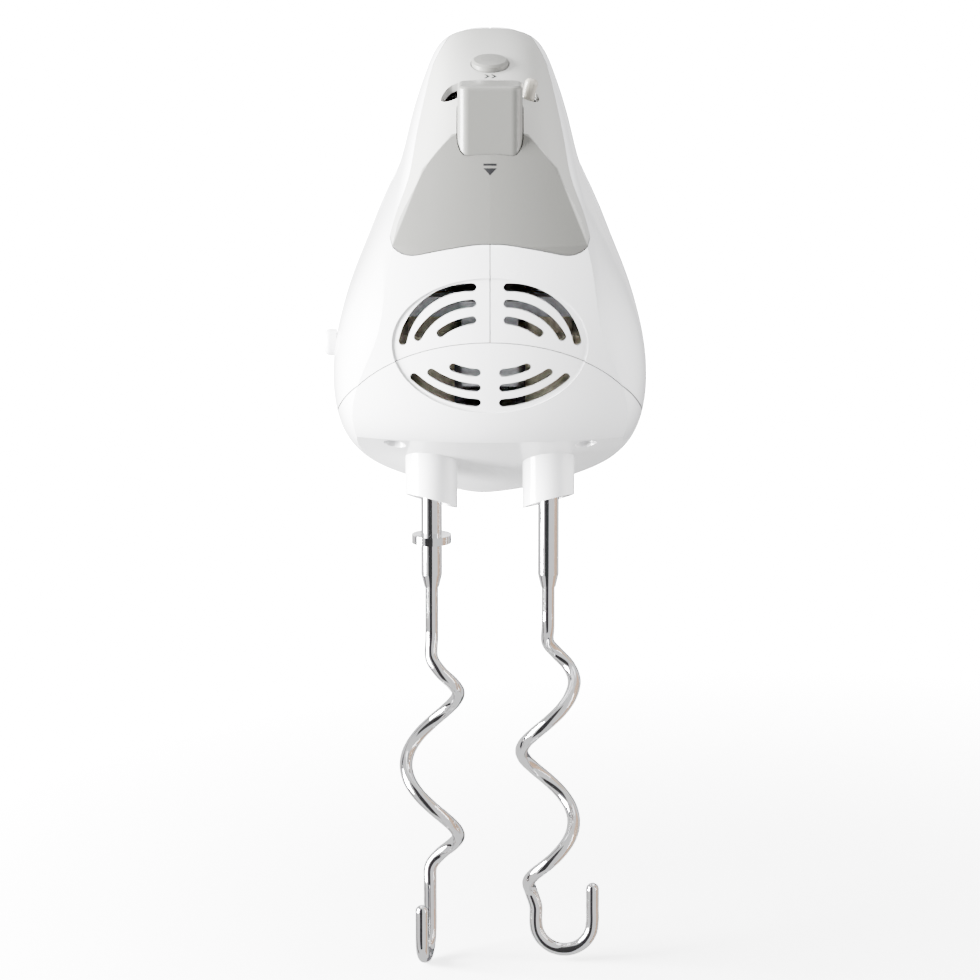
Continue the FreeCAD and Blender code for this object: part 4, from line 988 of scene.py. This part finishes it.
@dataclass
class Studio:
    """White sweep, soft lights, dark cards and camera.

    Attributes:
        target: Point that the camera looks at.
        aim: Point that the lights face.
        distance: Camera's distance from it.
        depression: Degrees that the camera looks down.
        lens: Focal length on a 36 mm sensor.
        floor_gap: Floor below the lowest point.
    """

    target: Vector = field(default_factory=lambda: at_tool(0, 0, 0))
    aim: Vector = field(default_factory=lambda: at_tool(0, 20, 20))
    distance: float = 1.5
    depression: float = 12.5
    lens: float = 179.1
    floor_gap: float = 0.0002

    def sweep(self, floor_z: float, wardrobe: Wardrobe) -> bpy.types.Object:
        """Make the floor with the backdrop that rises behind it.

        Args:
            floor_z: Height of the floor.
            wardrobe: The finishes.

        Returns:
            The sweep.
        """
        bend_r, back_y, half_width, top = 1.2, 3.2, 5.0, 3.6
        profile = [(-3.0, 0.0), (back_y - bend_r, 0.0)]
        for index in range(1, 13):
            turn = math.pi / 2 * index / 12
            profile.append((back_y - bend_r + bend_r * math.sin(turn), bend_r * (1 - math.cos(turn))))
        profile.append((back_y, top))
        mesh = bmesh.new()
        across = (-half_width, 0.0, half_width)
        rows = [[mesh.verts.new((x, y, floor_z + z)) for x in across] for y, z in profile]
        for near, far in zip(rows, rows[1:]):
            for i in range(2):
                mesh.faces.new((near[i], near[i + 1], far[i + 1], far[i]))
        sweep = wardrobe.dress(new_object("paper_sweep", mesh), "paper")
        sweep.visible_diffuse = sweep.visible_glossy = sweep.visible_shadow = False
        return sweep

    def softbox(self, name: str, place: tuple[float, float, float], size: tuple[float, float],
                power: float) -> bpy.types.Object:
        """Hang a soft light that faces the mixer.

        Args:
            name: Its name.
            place: Where it hangs.
            size: Its width and height.
            power: Its power in watts.

        Returns:
            The light.
        """
        data = bpy.data.lights.new(name, "AREA")
        data.shape = "RECTANGLE"
        data.size, data.size_y = size
        data.energy = power
        light = bpy.data.objects.new(name, data)
        light.location = place
        light.rotation_euler = (self.aim - light.location).to_track_quat("-Z", "Y").to_euler()
        bpy.context.scene.collection.objects.link(light)
        return light

    def flag(self, name: str, slot: str, bearing: float, wide: float, wardrobe: Wardrobe) -> bpy.types.Object:
        """Stand a card that draws a dark or brown line in the plating and isn't seen itself.

        Args:
            name: Its name.
            slot: Its finish.
            bearing: Degrees round the hooks, from straight in front, to the right.
            wide: Its width.
            wardrobe: The finishes.

        Returns:
            The card.
        """
        away, tall = 0.55, 1.5
        turn = math.radians(bearing)
        middle = at_tool(0, 0, -80)
        outward = Vector((math.sin(turn), -math.cos(turn), 0))
        across = Vector((math.cos(turn), math.sin(turn), 0))
        mesh = bmesh.new()
        corners = []
        for u, v in ((-1, -1), (1, -1), (1, 1), (-1, 1)):
            rise = Vector((0, 0, v * tall / 2))
            corners.append(mesh.verts.new(middle + outward * away + across * u * wide / 2 + rise))
        mesh.faces.new(corners)
        card = wardrobe.dress(new_object(name, mesh, smooth=False), slot)
        card.visible_camera = card.visible_diffuse = card.visible_shadow = False
        return card

    def world(self) -> None:
        """Fill the room with even white light."""
        world = bpy.data.worlds.new("room")
        world.use_nodes = True
        background = world.node_tree.nodes["Background"]
        background.inputs["Color"].default_value = (1.0, 1.0, 1.0, 1.0)
        background.inputs["Strength"].default_value = 1.1
        bpy.context.scene.world = world

    def camera(self) -> bpy.types.Object:
        """Set up the camera.

        Returns:
            The camera.
        """
        data = bpy.data.cameras.new("camera")
        data.lens, data.sensor_width = self.lens, 36.0
        camera = bpy.data.objects.new("camera", data)
        down = math.radians(self.depression)
        back = Vector((0, -math.cos(down), math.sin(down)))
        camera.location = self.target + back * self.distance
        camera.rotation_euler = (-back).to_track_quat("-Z", "Y").to_euler()
        bpy.context.scene.collection.objects.link(camera)
        bpy.context.scene.camera = camera
        return camera

    def build(self, wardrobe: Wardrobe) -> None:
        """Set the whole studio up.

        Args:
            wardrobe: The finishes.
        """
        self.sweep(cad_box[0].z - self.floor_gap, wardrobe)
        self.softbox("key", (-1.75, -0.40, 0.15), (1.3, 1.5), 860.0)
        self.softbox("fill", (1.7, -0.35, 0.2), (1.0, 1.4), 75.0)
        self.softbox("overhead", (0.1, 0.5, 1.7), (1.6, 1.6), 30.0)
        cards = (("card_front", "flag", -17, 0.46), ("card_right", "warm_flag", 88, 0.42),
                 ("card_left", "flag", -100, 0.16), ("card_back", "flag", 150, 0.30))
        for name, slot, bearing, wide in cards:
            self.flag(name, slot, bearing, wide, wardrobe)
        self.world()
        self.camera()


# ---------------------------------------------------------------- the whole


@dataclass
class HandMixer:
    """The mixer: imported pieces, hook wires and printed signs."""

    wardrobe: Wardrobe
    hooks: tuple[DoughHook, ...] = (
        DoughHook("left_hook_wire", "hook_left", "hook_left_wire", -HOOK_AXIS_X, Hand.RIGHT, turned=450,
                  side_z=-64.3, pitch=46.5, shank=(-0.8, 6.0), tip=(-3.2, -9.4), low_z=-149.2, tip_rise=9.0),
        DoughHook("right_hook_wire", "hook_right", "hook_right_wire", HOOK_AXIS_X, Hand.LEFT, turned=540,
                  side_z=-60.4, pitch=45.6, shank=(-3.6, 0.6), tip=(14.1, -0.6), low_z=-147.8, tip_rise=11.0),
    )

    def build(self) -> None:
        """Build and dress everything."""
        CarriedPieces(frame["record"], frame["nodes"]).dress(self.wardrobe)
        for hook in self.hooks:
            wire = hook.build(self.wardrobe)
            log.info("%s has %d faces", wire.name, len(wire.data.polygons))
        marks = PrintedMarks()
        slope = Vector((0, 1.0, 1.82))
        marks.build("release_sign", Mark.RELEASE, at_tool(0, -16.5, 103.5), slope, self.wardrobe)
        marks.build("boost_sign", Mark.BOOST, at_tool(0, 12.3, 128.0), Vector((0, 1.0, 0.2)), self.wardrobe)


def main() -> None:
    """Build the mixer and the studio."""
    logging.basicConfig(level=logging.INFO, format="%(name)s: %(message)s")
    wardrobe = Wardrobe({**FINISHES, **EXTRA_FINISHES})
    HandMixer(wardrobe).build()
    Studio().build(wardrobe)


if __name__ == "__main__":
    main()
